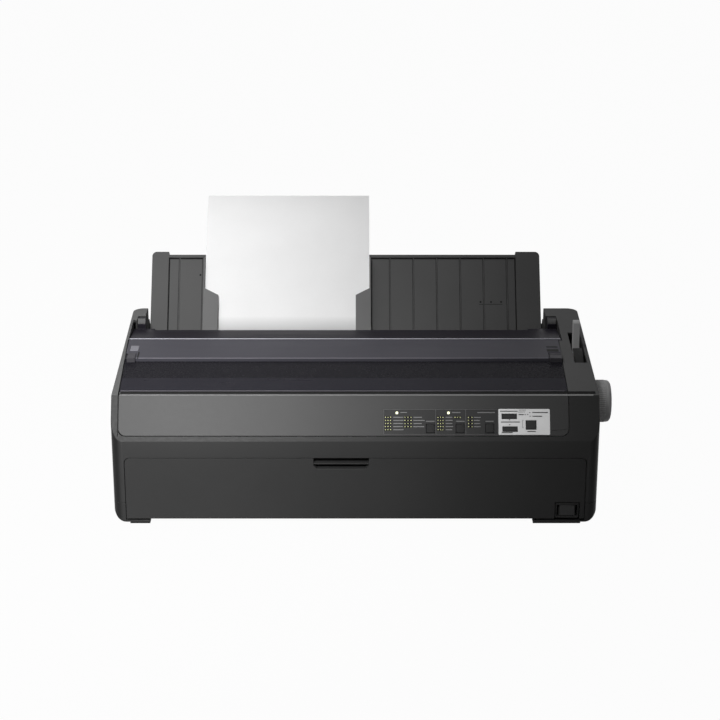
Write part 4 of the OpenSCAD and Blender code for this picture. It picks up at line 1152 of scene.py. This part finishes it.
@dataclass
class ControlPanel(SubAssembly):
    """What the two labels of the sloping front carry: dots, bars, lines and arrows."""

    label_top: float = 0.25
    ink: float = 0.05
    row_gap: float = 3.57
    dot_rows: tuple[tuple[float, float, float, int, int], ...] = (
        (34.5, 13.9, 2.9, 3, 5),
        (56.8, 17.4, 3.45, 3, 4),
        (94.6, 13.9, 2.85, 3, 5),
        (114.0, 28.1, 3.0, 3, 1),
        (129.5, 17.4, 4.0, 2, 4),
    )
    window_size: Pair = (2.2, 2.1)
    stud_radius: float = 0.62
    stud_height: float = 0.12
    stud_lift: float = 0.06
    captions: tuple[tuple[float, float, int, float, float], ...] = (
        (43.5, 13.9, 5, 8.0, 12.0),
        (66.5, 17.4, 4, 9.0, 13.5),
        (103.3, 13.9, 5, 6.5, 8.5),
        (135.8, 17.4, 4, 6.0, 8.0),
    )
    caption_half: float = 0.5
    bar_depth: float = 0.08
    first_seed: int = 3
    small_captions: tuple[Triple, ...] = (
        (51.5, 59.1, 33.7),
        (110.6, 120.3, 33.7),
        (139.8, 159.8, 33.7),
        (80.9, 90.6, 23.6),
        (115.2, 124.9, 23.6),
        (148.9, 158.1, 23.6),
    )
    label_lines: tuple[Quad, ...] = (
        (32.3, 161.8, 37.1, 37.5),
        (32.3, 161.8, 8.3, 8.6),
        (32.3, 32.7, 8.3, 37.5),
        (91.8, 92.2, 8.6, 37.1),
        (126.1, 126.5, 8.6, 37.1),
    )
    seam: Block = ((-272.5, 6.0, -0.3), (-271.3, 53.0, 0.06))
    silver_bars: tuple[Triple, ...] = (
        (202.5, 220.4, 33.7),
        (202.7, 213.9, 29.4),
        (166.4, 188.3, 22.7),
        (165.7, 185.8, 35.2),
        (186.8, 193.0, 31.3),
        (196.7, 206.2, 11.8),
        (167.2, 180.0, 10.4),
    )
    silver_half: float = 0.55
    silver_dots: tuple[Pair, ...] = ((194.4, 31.3), (197.3, 31.5), (199.8, 33.7), (200.0, 29.4))
    dot_radius: float = 0.65
    arrows: tuple[Triple, ...] = ((176.4, 25.25, 90.0), (176.4, 19.8, -90.0))
    arrow_radius: float = 1.15
    bracket: tuple[Quad, ...] = (
        (191.0, 191.4, 16.0, 24.8),
        (191.4, 192.6, 24.4, 24.8),
        (191.4, 192.6, 16.0, 16.4),
    )
    hatch: Triple = (186.4, 33.2, 37.4)
    hatch_lines: int = 6
    hatch_gap: float = 1.3
    hatch_run: float = 2.2
    hatch_radius: float = 0.16

    def _line(self, x0: float, x1: float, y0: float, y1: float) -> Block:
        """Returns a flat block of print on a label."""
        return ((x0, y0, self.label_top - self.ink), (x1, y1, self.label_top + self.ink))

    def _bars(self, rows: Iterable[Triple], half: float) -> list[Block]:
        """Returns flat bars from their two ends, their middle on the slope and half their width."""
        return [self._line(x0, x1, s - half, s + half) for x0, x1, s in rows]

    def _film(
        self, name: str, slot: str, level: float, blocks: Iterable[Block], rods: Iterable[Rod] = ()
    ) -> None:
        """Builds one printed piece on the slope.

        Args:
            name: The piece's name.
            slot: The record's slot.
            level: The screen grey of the print.
            blocks: The low and high corner of each block, in the slope's own axes.
            rods: The ends and the radius of each rod, likewise.
        """
        finish = PrintedFilm(grey(level), specular=0.05)
        trim(Trim(name, "case", slot, finish, self.datum.slope()), blocks, rods)

    def _grown(self, name: str, kind: Repeat, place: Triple, inputs: Mapping[str, Any]) -> None:
        """Grows a repeated print at a point of the slope, in millimetres."""
        matrix = self.datum.slope() @ Matrix.Translation(Vector(place) * MM)
        settle(REPEATS.grow(name, kind, inputs, matrix), "case", "dark_label")

    def _silver_print(self) -> None:
        """Builds the bars, dots, arrows and hatching of the silver label."""
        top, ink = self.label_top, self.ink
        blocks = self._bars(self.silver_bars, self.silver_half) + [self._line(*side) for side in self.bracket]
        rods = [((x, s, top - ink), (x, s, top + ink), self.dot_radius) for x, s in self.silver_dots]
        left, low, high = self.hatch
        for x in (left + k * self.hatch_gap for k in range(self.hatch_lines)):
            rods.append(((x, low, top), (x + self.hatch_run, high, top), self.hatch_radius))
        shape = drawn(blocks, rods)
        for x, s, way in self.arrows:
            turn = Matrix.Rotation(math.radians(way), 4, "Z")
            place = Matrix.Translation(Vector((x, s, top)) * MM) @ turn
            add_prism(shape, place, self.arrow_radius, 2 * ink, sides=3)
        shape.transform(self.datum.slope())
        material = WARDROBE.material("silver_print", PrintedFilm(grey(93), specular=0.05))
        settle(new_piece("silver_print", shape, material), "case", "silver_film")

    def _dots(self) -> None:
        """Builds the rows of lit dots, each row in its dark window."""
        window = WARDROBE.material("dot_window", PrintedFilm(grey(21), specular=0.03))
        dot = WARDROBE.material("dot_lens", PrintedFilm(srgb(253, 255, 192), specular=0.1))
        wide, high = self.window_size
        for number, (x, s, gap, columns, rows) in enumerate(self.dot_rows):
            span = (columns - 1) * gap
            windows = {
                "Count": rows,
                "Step": (0.0, self.row_gap * MM, 0.0),
                "Size": ((span + wide) * MM, high * MM, 2 * self.ink * MM),
                "Finish": window,
            }
            dots = {
                "Columns": columns,
                "Rows": rows,
                "Column Gap": gap * MM,
                "Row Gap": self.row_gap * MM,
                "Stud Radius": self.stud_radius * MM,
                "Stud Height": self.stud_height * MM,
                "Finish": dot,
            }
            middle = (x + span / 2, s, self.label_top)
            self._grown(f"dot_windows_{number}", Repeat.ROW, middle, windows)
            self._grown(f"dots_{number}", Repeat.FIELD, (x, s, self.label_top + self.stud_lift), dots)

    def build(self) -> None:
        """Builds the printed lines, the rows of dots, the bars and the arrows."""
        lines = [self._line(*line) for line in self.label_lines]
        self._film("select_label_lines", "dark_label", 122, lines)
        small = self._bars(self.small_captions, self.caption_half)
        self._film("select_captions", "dark_label", 154, small)
        self._film("panel_seam", "panel_plastic", 18, [self.seam])
        self._silver_print()
        self._dots()
        words = WARDROBE.material("caption_print", PrintedFilm(grey(154), specular=0.05))
        for number, (x, s, rows, shortest, longest) in enumerate(self.captions):
            bars = {
                "Rows": rows,
                "Row Gap": self.row_gap * MM,
                "Shortest": shortest * MM,
                "Longest": longest * MM,
                "Bar Height": 2 * self.caption_half * MM,
                "Bar Depth": self.bar_depth * MM,
                "Seed": number + self.first_seed,
                "Finish": words,
            }
            self._grown(f"caption_bars_{number}", Repeat.WORDS, (x, s, self.label_top), bars)


@dataclass
class GripKnob(SubAssembly):
    """The platen knob with the ribs of its grip."""

    start_x: float = 281.0
    length: float = 25.6
    radius: float = 25.2
    nose: float = 5.0
    nose_steps: int = 9
    chamfer: float = 0.8
    axis: Pair = (130.0, 102.3)
    ribs: int = 66
    rib_size: Triple = (0.8, 1.1, 15.5)
    rib_middle: float = 10.5

    def build(self) -> None:
        """Turns the knob's body and grows its ribs."""
        profile = [(0.0, 0.0), (self.radius - self.chamfer, 0.0), (self.radius, self.chamfer)]
        for angle in (math.radians(90 * k / self.nose_steps) for k in range(self.nose_steps + 1)):
            out, up = self.nose * math.cos(angle), self.nose * math.sin(angle)
            profile.append((self.radius - self.nose + out, self.length - self.nose + up))
        profile.append((0.0, self.length))
        shape = bmesh.new()
        verts = [shape.verts.new((r * MM, 0, z * MM)) for r, z in profile]
        edges = [shape.edges.new(pair) for pair in zip(verts, verts[1:])]
        turned = {"cent": (0, 0, 0), "axis": (0, 0, 1), "angle": 2 * math.pi, "steps": 96}
        bmesh.ops.spin(shape, geom=verts + edges, use_merge=True, **turned)
        bmesh.ops.remove_doubles(shape, verts=shape.verts, dist=1e-6)
        bmesh.ops.recalc_face_normals(shape, faces=shape.faces)
        smooth(shape)
        place = self.datum.level(self.start_x, *self.axis) @ Matrix.Rotation(math.radians(90), 4, "Y")
        shape.transform(place)
        body = new_piece("knob_body", shape, WARDROBE.material("knob_plastic"))
        settle(body, "platen", "knob_plastic", "platen_knob")
        depth, width, length = (size * MM for size in self.rib_size)
        inputs = {
            "Count": self.ribs,
            "Ring Radius": self.radius * MM,
            "Rib Depth": depth,
            "Rib Width": width,
            "Rib Length": length,
            "Finish": WARDROBE.material("knob_rib", MouldedPlastic(grey(240), specular=0.15)),
        }
        middle = place @ Matrix.Translation((0, 0, self.rib_middle * MM))
        settle(REPEATS.grow("knob_ribs", Repeat.RING, inputs, middle), "platen", "knob_plastic")


@dataclass
class Mouldings(SubAssembly):
    """The mouldings that show, with the rounded edges that a mould leaves."""

    sharp: float = 30.0

    def build(self) -> None:
        """Rounds a merged copy of each moulding and lets it stand for the node."""
        for node, width in ROUNDED.items():
            shape = merged(node)
            corners = (edge for edge in shape.edges if edge.is_convex)
            edges = [edge for edge in corners if edge.calc_face_angle(0.0) > math.radians(self.sharp)]
            bmesh.ops.bevel(
                shape,
                geom=edges,
                offset=width * MM,
                offset_type="OFFSET",
                segments=2,
                profile=0.5,
                affect="EDGES",
                loop_slide=True,
            )
            bmesh.ops.dissolve_degenerate(shape, dist=1e-6, edges=shape.edges)
            low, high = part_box(node)
            for vert in shape.verts:
                vert.co = [min(max(c, a), b) for c, a, b in zip(vert.co, low, high)]
            smooth(shape)
            slot = slot_of(node)
            piece = new_piece(f"{node}_moulding", shape, WARDROBE.material(slot))
            even_normals(piece)
            settle(piece, body_of(node), slot, node)


@dataclass(frozen=True)
class Trim:
    """What one trim piece is called, rides on and looks like, and the face that it is drawn on."""

    name: str
    body: str
    slot: str
    finish: Finish
    place: Matrix


def drawn(blocks: Iterable[Block] = (), rods: Iterable[Rod] = ()) -> BMesh:
    """Returns a shape of blocks and rods.

    Args:
        blocks: The low and high corner of each block, in millimetres.
        rods: The ends and the radius of each rod, in millimetres.

    Returns:
        The shape, in metres.
    """
    shape = bmesh.new()
    for block in blocks:
        add_block(shape, *block)
    for rod in rods:
        add_rod(shape, *rod)
    return shape


def trim(piece: Trim, blocks: Iterable[Block] = (), rods: Iterable[Rod] = ()) -> None:
    """Builds one thin trim piece of blocks and rods, in millimetres on its face."""
    shape = drawn(blocks, rods)
    shape.transform(piece.place)
    smooth(shape)
    made = new_piece(piece.name, shape, WARDROBE.material(piece.name, piece.finish))
    settle(made, piece.body, piece.slot)


def along(spans: Iterable[Pair], axis: Pair, radius: float) -> list[Rod]:
    """Returns rods that run along x at one axis."""
    return [((low, *axis), (high, *axis), radius) for low, high in spans]


@dataclass
class CoverTrim(SubAssembly):
    """What stands on the two smoked covers: beads in pale colours of painted highlight, hinge ears in a
    lighter grey of painted light, clip caps, a pad, and dark slots of painted shade.
    """

    bead: float = 0.75
    crest_span: Pair = (-275.5, 250.7)
    lip_span: Pair = (-261.5, 229.5)
    lip_shift: Pair = (0.7, -0.5)
    window_span: Pair = (-270.4, 242.0)
    window_front: Pair = (37.6, 150.2)
    window_bead: float = 0.6
    ears: tuple[Pair, ...] = ((-271.4, -262.0), (239.9, 250.4))
    ear_axis: Pair = (242.4, 163.7)
    ear_radius: float = 6.3
    clips: tuple[Pair, ...] = ((-271.8, -262.2), (231.9, 246.0))
    clip_axis: Pair = (130.0, 158.5)
    clip_radius: float = 4.8
    clip_front: float = 114.8
    clip_rise: Pair = (-1.5, 4.0)
    pad: Block = ((-270.6, 22.0, -0.4), (-261.0, 37.4, 0.7))
    # Dark blocks of painted shade at the clips.
    slot_shade_blocks: tuple[Block, ...] = (
        ((230.4, 20.6, -0.4), (244.4, 28.0, 0.15)),
        ((230.4, 33.6, -0.4), (244.4, 37.0, 0.15)),
        ((-260.4, -0.4, -0.4), (-258.6, 19.0, 0.15)),
    )

    def build(self) -> None:
        """Builds the beads of painted highlight, the ears of painted light, the clips and the slots of
        painted shade.
        """
        level, band = self.datum.level(0, 0, 0), self.datum.band()
        cover, window = ("rear_cover", "smoked_cover"), ("window_cover", "smoked_window")
        lip, crest = self.datum.band_ends
        lip = (lip[0] + self.lip_shift[0], lip[1] + self.lip_shift[1])
        # The beads' pale colours are painted highlights along the crest, the lip and the window's front.
        crest_highlight = MouldedPlastic(srgb(172, 172, 180), 0.4, 0.357)
        trim(Trim("crest_bead", *cover, crest_highlight, level), rods=along([self.crest_span], crest, self.bead))
        soft = MouldedPlastic(srgb(111, 109, 117), 0.4, 0.179)
        trim(Trim("lip_bead", *cover, soft, level), rods=along([self.lip_span], lip, self.bead))
        pale = MouldedPlastic(srgb(96, 93, 100), 0.4, 0.179)
        front = along([self.window_span], self.window_front, self.window_bead)
        trim(Trim("window_bead", *window, pale, level), rods=front)
        # The ears' lighter grey is painted light.
        painted_light_ear = MouldedPlastic(grey(99), specular=0.071)
        trim(Trim("hinge_ears", *cover, painted_light_ear, level), rods=along(self.ears, self.ear_axis, self.ear_radius))
        clip = MouldedPlastic(srgb(77, 76, 80), specular=0.04)
        y, z = self.clip_axis
        under, over = self.clip_rise
        caps = [((low, self.clip_front, z + under), (high, y, z + over)) for low, high in self.clips]
        pins = along(self.clips, self.clip_axis, self.clip_radius)
        trim(Trim("clip_caps", *window, clip, level), caps, pins)
        pad = MouldedPlastic(srgb(126, 125, 132), 0.45, 0.152)
        trim(Trim("clip_pad", *cover, pad, band), [self.pad])
        # Dark blocks in the clips' slots and beside the left clip: painted shade.
        trim(Trim("clip_slots", *cover, MouldedPlastic(grey(32), 0.6, 0.054), band), self.slot_shade_blocks)


@dataclass
class GuideTrim(SubAssembly):
    """Lines and marks on the paper guide, and the feet of the edge guides."""

    plate: Pair = (-239.5, 205.9)
    length: float = 101.8
    flange: float = 4.0
    line: float = 1.5
    sunk: float = -0.3
    proud: float = 0.12
    rib_start: float = -226.0
    rib_pitch: float = 30.0
    ribs: int = 15
    shadow: float = 0.9
    shadow_ends: Pair = (2.0, 1.0)
    shadow_proud: float = 0.1
    scale: Quad = (158.0, 188.0, 35.4, 36.0)
    marks: tuple[Pair, ...] = ((160.1, 38.8), (173.5, 38.8), (186.3, 38.8), (-198.8, 75.0))
    mark_radius: float = 1.3
    mark_proud: float = 0.15
    feet: tuple[tuple[str, float, float], ...] = (
        ("edge_guide_left", -194.0, -174.5),
        ("edge_guide_right", 0.5, 20.0),
    )
    foot_run: Pair = (-7.0, 3.4)
    foot_face: Pair = (9.05, 10.55)

    def _flat(self, x0: float, x1: float, y0: float, y1: float) -> Block:
        """Returns a thin block that stands just proud of the guide's face."""
        return ((x0, y0, self.sunk), (x1, y1, self.proud))

    def build(self) -> None:
        """Builds the grooves, the lines beside the ribs, the marks and the feet."""
        guide = self.datum.guide()
        own = ("paper_guide", "guide_plastic")
        low, high = self.plate
        top = self.length - self.flange
        grooves = [
            self._flat(low, low + self.line, 0.0, top),
            self._flat(high - self.line, high, 0.0, top),
            self._flat(low, high, top - self.line, top),
        ]
        trim(Trim("guide_grooves", *own, MouldedPlastic(grey(29), 0.6, 0.054), guide), grooves)
        beside = []
        for x in (self.rib_start + k * self.rib_pitch for k in range(self.ribs)):
            low_corner = (x - self.shadow, self.shadow_ends[0], self.sunk)
            beside.append((low_corner, (x, top - self.shadow_ends[1], self.shadow_proud)))
        trim(Trim("rib_shadows", *own, MouldedPlastic(grey(58), 0.6, 0.054), guide), beside)
        dots = [((x, t, self.sunk), (x, t, self.mark_proud), self.mark_radius) for x, t in self.marks]
        black = PrintedFilm(grey(37), 0.6, 0.054)
        trim(Trim("guide_marks", *own, black, guide), [self._flat(*self.scale)], dots)
        (near, far), (under, over) = self.foot_run, self.foot_face
        slot = "edge_guide_plastic"
        for node, x0, x1 in self.feet:
            foot = Trim(f"{node}_foot", body_of(node), slot, FINISHES[slot], guide)
            trim(foot, [((x0, near, under), (x1, far, over))])


@dataclass
class CaseTrim(SubAssembly):
    """Trim on the upper case, and the release lever's own plate."""

    ledge_shade_sheet: Block = ((-270.0, 3.0, -0.3), (276.0, 9.6, 0.12))
    ledge_lean: float = 0.0854
    crease_highlight_rod: Rod = ((-270.0, 27.0, 149.1), (273.0, 27.0, 149.1), 0.9)
    lever_axis: Pair = (158.0, 110.0)
    plate_span: Pair = (262.3, 273.4)
    plate_radius: float = 50.6
    plate_arc: Pair = (94.0, 131.0)
    plate_steps: int = 16
    plate_thickness: float = 0.6
    sign_rows: tuple[Pair, ...] = ((110.0, 7.0), (117.0, 5.0), (128.0, 7.5), (138.0, 6.0))
    sign_x: float = 251.0
    sign_width: float = 3.0
    sign_face: Pair = (-0.5, 0.25)

    def build(self) -> None:
        """Builds the dark sheet of painted shade on the ledge, the rod of painted highlight on the crease,
        the lever's plate and the plain marks.
        """
        level = self.datum.level(0, 0, 0)
        own = ("case", "case_upper")
        crest_z = self.datum.fascia_height + self.datum.slope_rise
        crest = self.datum.level(0, self.datum.slope_depth, crest_z)
        flange = crest @ Matrix.Rotation(math.atan(self.ledge_lean), 4, "X")
        # A dark sheet on the ledge between window and crease: painted shade.
        trim(Trim("window_ledge", *own, MouldedPlastic(grey(44), 0.9, 0.018), flange), [self.ledge_shade_sheet])
        # A shining rod along the crease: painted highlight.
        line = PrintedFilm(grey(102), 0.5, metallic=1.0)
        trim(Trim("crease_line", *own, line, level), rods=[self.crease_highlight_rod])
        self._lever_plate()
        rows = []
        for y, length in self.sign_rows:
            z = crest_z + (y - self.datum.slope_depth) * self.ledge_lean
            under, over = (z + rise for rise in self.sign_face)
            rows.append(((self.sign_x, y, under), (self.sign_x + length, y + self.sign_width, over)))
        trim(Trim("lever_marks", *own, PrintedFilm(grey(47), 0.6, 0.054), level), rows)

    def _lever_plate(self) -> None:
        """Builds the curved plate that rides on the lever and closes its slot."""
        shape = bmesh.new()
        start, end = (math.radians(angle) for angle in self.plate_arc)
        rows = []
        for step in range(self.plate_steps + 1):
            angle = start + (end - start) * step / self.plate_steps
            y = self.lever_axis[0] + self.plate_radius * math.cos(angle)
            z = self.lever_axis[1] + self.plate_radius * math.sin(angle)
            rows.append([shape.verts.new(Vector((x, y, z)) * MM) for x in self.plate_span])
        for lower, upper in zip(rows, rows[1:]):
            shape.faces.new((lower[0], lower[1], upper[1], upper[0]))
        shape.normal_update()
        bmesh.ops.solidify(shape, geom=shape.faces[:], thickness=self.plate_thickness * MM)
        bmesh.ops.recalc_face_normals(shape, faces=shape.faces)
        shape.transform(self.datum.level(0, 0, 0))
        smooth(shape)
        finish = MouldedPlastic(grey(55), specular=0.054)
        plate = new_piece("lever_plate", shape, WARDROBE.material("lever_plate", finish))
        settle(plate, "release_lever", "lever_plastic")


# ---------------------------------------------------------------- studio


@dataclass(frozen=True)
class Lamp:
    """A lamp, placed in metres from the middle of the front face."""

    name: str
    place: Triple
    aim: Triple
    power: float
    size: float = 0.6
    cone: float = 0.0

    def data(self) -> bpy.types.Light:
        """Returns a soft spot where the lamp has a cone in degrees, or else a square softbox."""
        made = bpy.data.lights.new(self.name, "SPOT" if self.cone else "AREA")
        made.energy = self.power
        if self.cone:
            made.spot_size = math.radians(self.cone)
            made.spot_blend = 1.0
            made.shadow_soft_size = self.size / 2
        else:
            made.shape = "SQUARE"
            made.size = self.size
        return made


@dataclass
class Studio:
    """Camera, lights, world and floor."""

    datum: Datum
    lens: float = 95.0
    distance: float = 2.008
    height: float = 0.93
    look: Triple = (0.0, 0.9401, -0.3409)
    shift: float = 0.0065
    far: float = 50.0
    ambient: float = 0.033
    floor_half: float = 12.0
    floor_white: float = 0.97
    floor_grey: float = 170.0
    lamps: tuple[Lamp, ...] = (
        Lamp("key", (-0.33, -1.42, 1.22), (-0.45, 0.1, 0.1), 143.0, 0.3, 44.0),
        Lamp("overhead", (-0.5, 0.31, 1.34), (-0.1, 0.15, 0.1), 4.5),
        Lamp("high_front", (-0.3, -0.9, 1.7), (-0.1, 0.3, 0.2), 4.2),
    )

    def _stand(self, name: str, data: bpy.types.ID, place: Triple, way: Vector) -> Piece:
        """Stands a camera or a lamp in metres from the front face's middle, looking one way."""
        made = placed(name, data)
        made.location = self.datum.point(0, 0, 0) + Vector(place)
        made.rotation_mode = "QUATERNION"
        made.rotation_quaternion = way.to_track_quat("-Z", "Y")
        return made

    def camera(self) -> None:
        """Makes the camera at the photograph's viewing angle."""
        data = bpy.data.cameras.new("camera")
        data.lens = self.lens
        data.shift_x = self.shift
        data.clip_end = self.far
        place = (0.0, -self.distance, self.height)
        bpy.context.scene.camera = self._stand("camera", data, place, Vector(self.look))

    def lights(self) -> None:
        """Hangs the lamps."""
        for lamp in self.lamps:
            self._stand(lamp.name, lamp.data(), lamp.place, Vector(lamp.aim) - Vector(lamp.place))

    def _seen(self, tree: Tree) -> Socket:
        """Returns 1 for rays that see the background: camera, glossy and transmitted."""
        rays = tree.add("ShaderNodeLightPath").outputs
        glossy = tree.math("ADD", rays["Is Camera Ray"], rays["Is Glossy Ray"])
        return tree.math("ADD", glossy, rays["Is Transmission Ray"], clamp=True)

    def _mixed(self, owner: Any, kind: str, share: float, plain: Mapping[str, Any], output: str) -> None:
        """Gives a world or a material a plain shader, and white where the background is seen.

        Args:
            owner: The world or the material.
            kind: The type of its plain shader.
            share: How much of the white shows.
            plain: The plain shader's inputs.
            output: The type of its output node.
        """
        owner.use_nodes = True
        owner.node_tree.nodes.clear()
        tree = Tree(owner.node_tree)
        shader = tree.add(kind, plain).outputs[0]
        glow = "ShaderNodeBackground" if kind == "ShaderNodeBackground" else "ShaderNodeEmission"
        white = tree.add(glow, {"Color": grey(255), "Strength": 1.0}).outputs[0]
        mask = tree.times(self._seen(tree), share)
        mixed = tree.add("ShaderNodeMixShader", {0: mask, 1: shader, 2: white}).outputs[0]
        tree.add(output, {"Surface": mixed})

    def world(self) -> None:
        """Makes the soft surrounding light and the white background."""
        world = bpy.data.worlds.new("studio")
        soft = {"Color": grey(255), "Strength": self.ambient}
        self._mixed(world, "ShaderNodeBackground", 1.0, soft, "ShaderNodeOutputWorld")
        bpy.context.scene.world = world

    def floor(self) -> None:
        """Lays the pale floor, which shows white and keeps the object's soft shadow."""
        shape = bmesh.new()
        bmesh.ops.create_grid(shape, x_segments=1, y_segments=1, size=self.floor_half)
        paint = bpy.data.materials.new("floor")
        pale = {"Color": grey(self.floor_grey)}
        self._mixed(paint, "ShaderNodeBsdfDiffuse", self.floor_white, pale, "ShaderNodeOutputMaterial")
        new_piece("floor", shape, paint)

    def build(self) -> None:
        """Sets up the whole studio."""
        self.camera()
        self.lights()
        self.world()
        self.floor()
        bpy.context.scene.view_settings.view_transform = "Standard"
        LOG.info("studio stands")


def main() -> None:
    """Builds the studio, dresses the frame and adds every piece."""
    logging.basicConfig(level=logging.INFO, format="%(name)s: %(message)s")
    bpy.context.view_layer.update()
    Studio(DATUM).build()
    WARDROBE.dress_nodes()
    for kind in (Mouldings, PaperSheet, ControlPanel, GripKnob, CoverTrim, GuideTrim, CaseTrim):
        kind(DATUM).build()


if __name__ == "__main__":
    main()
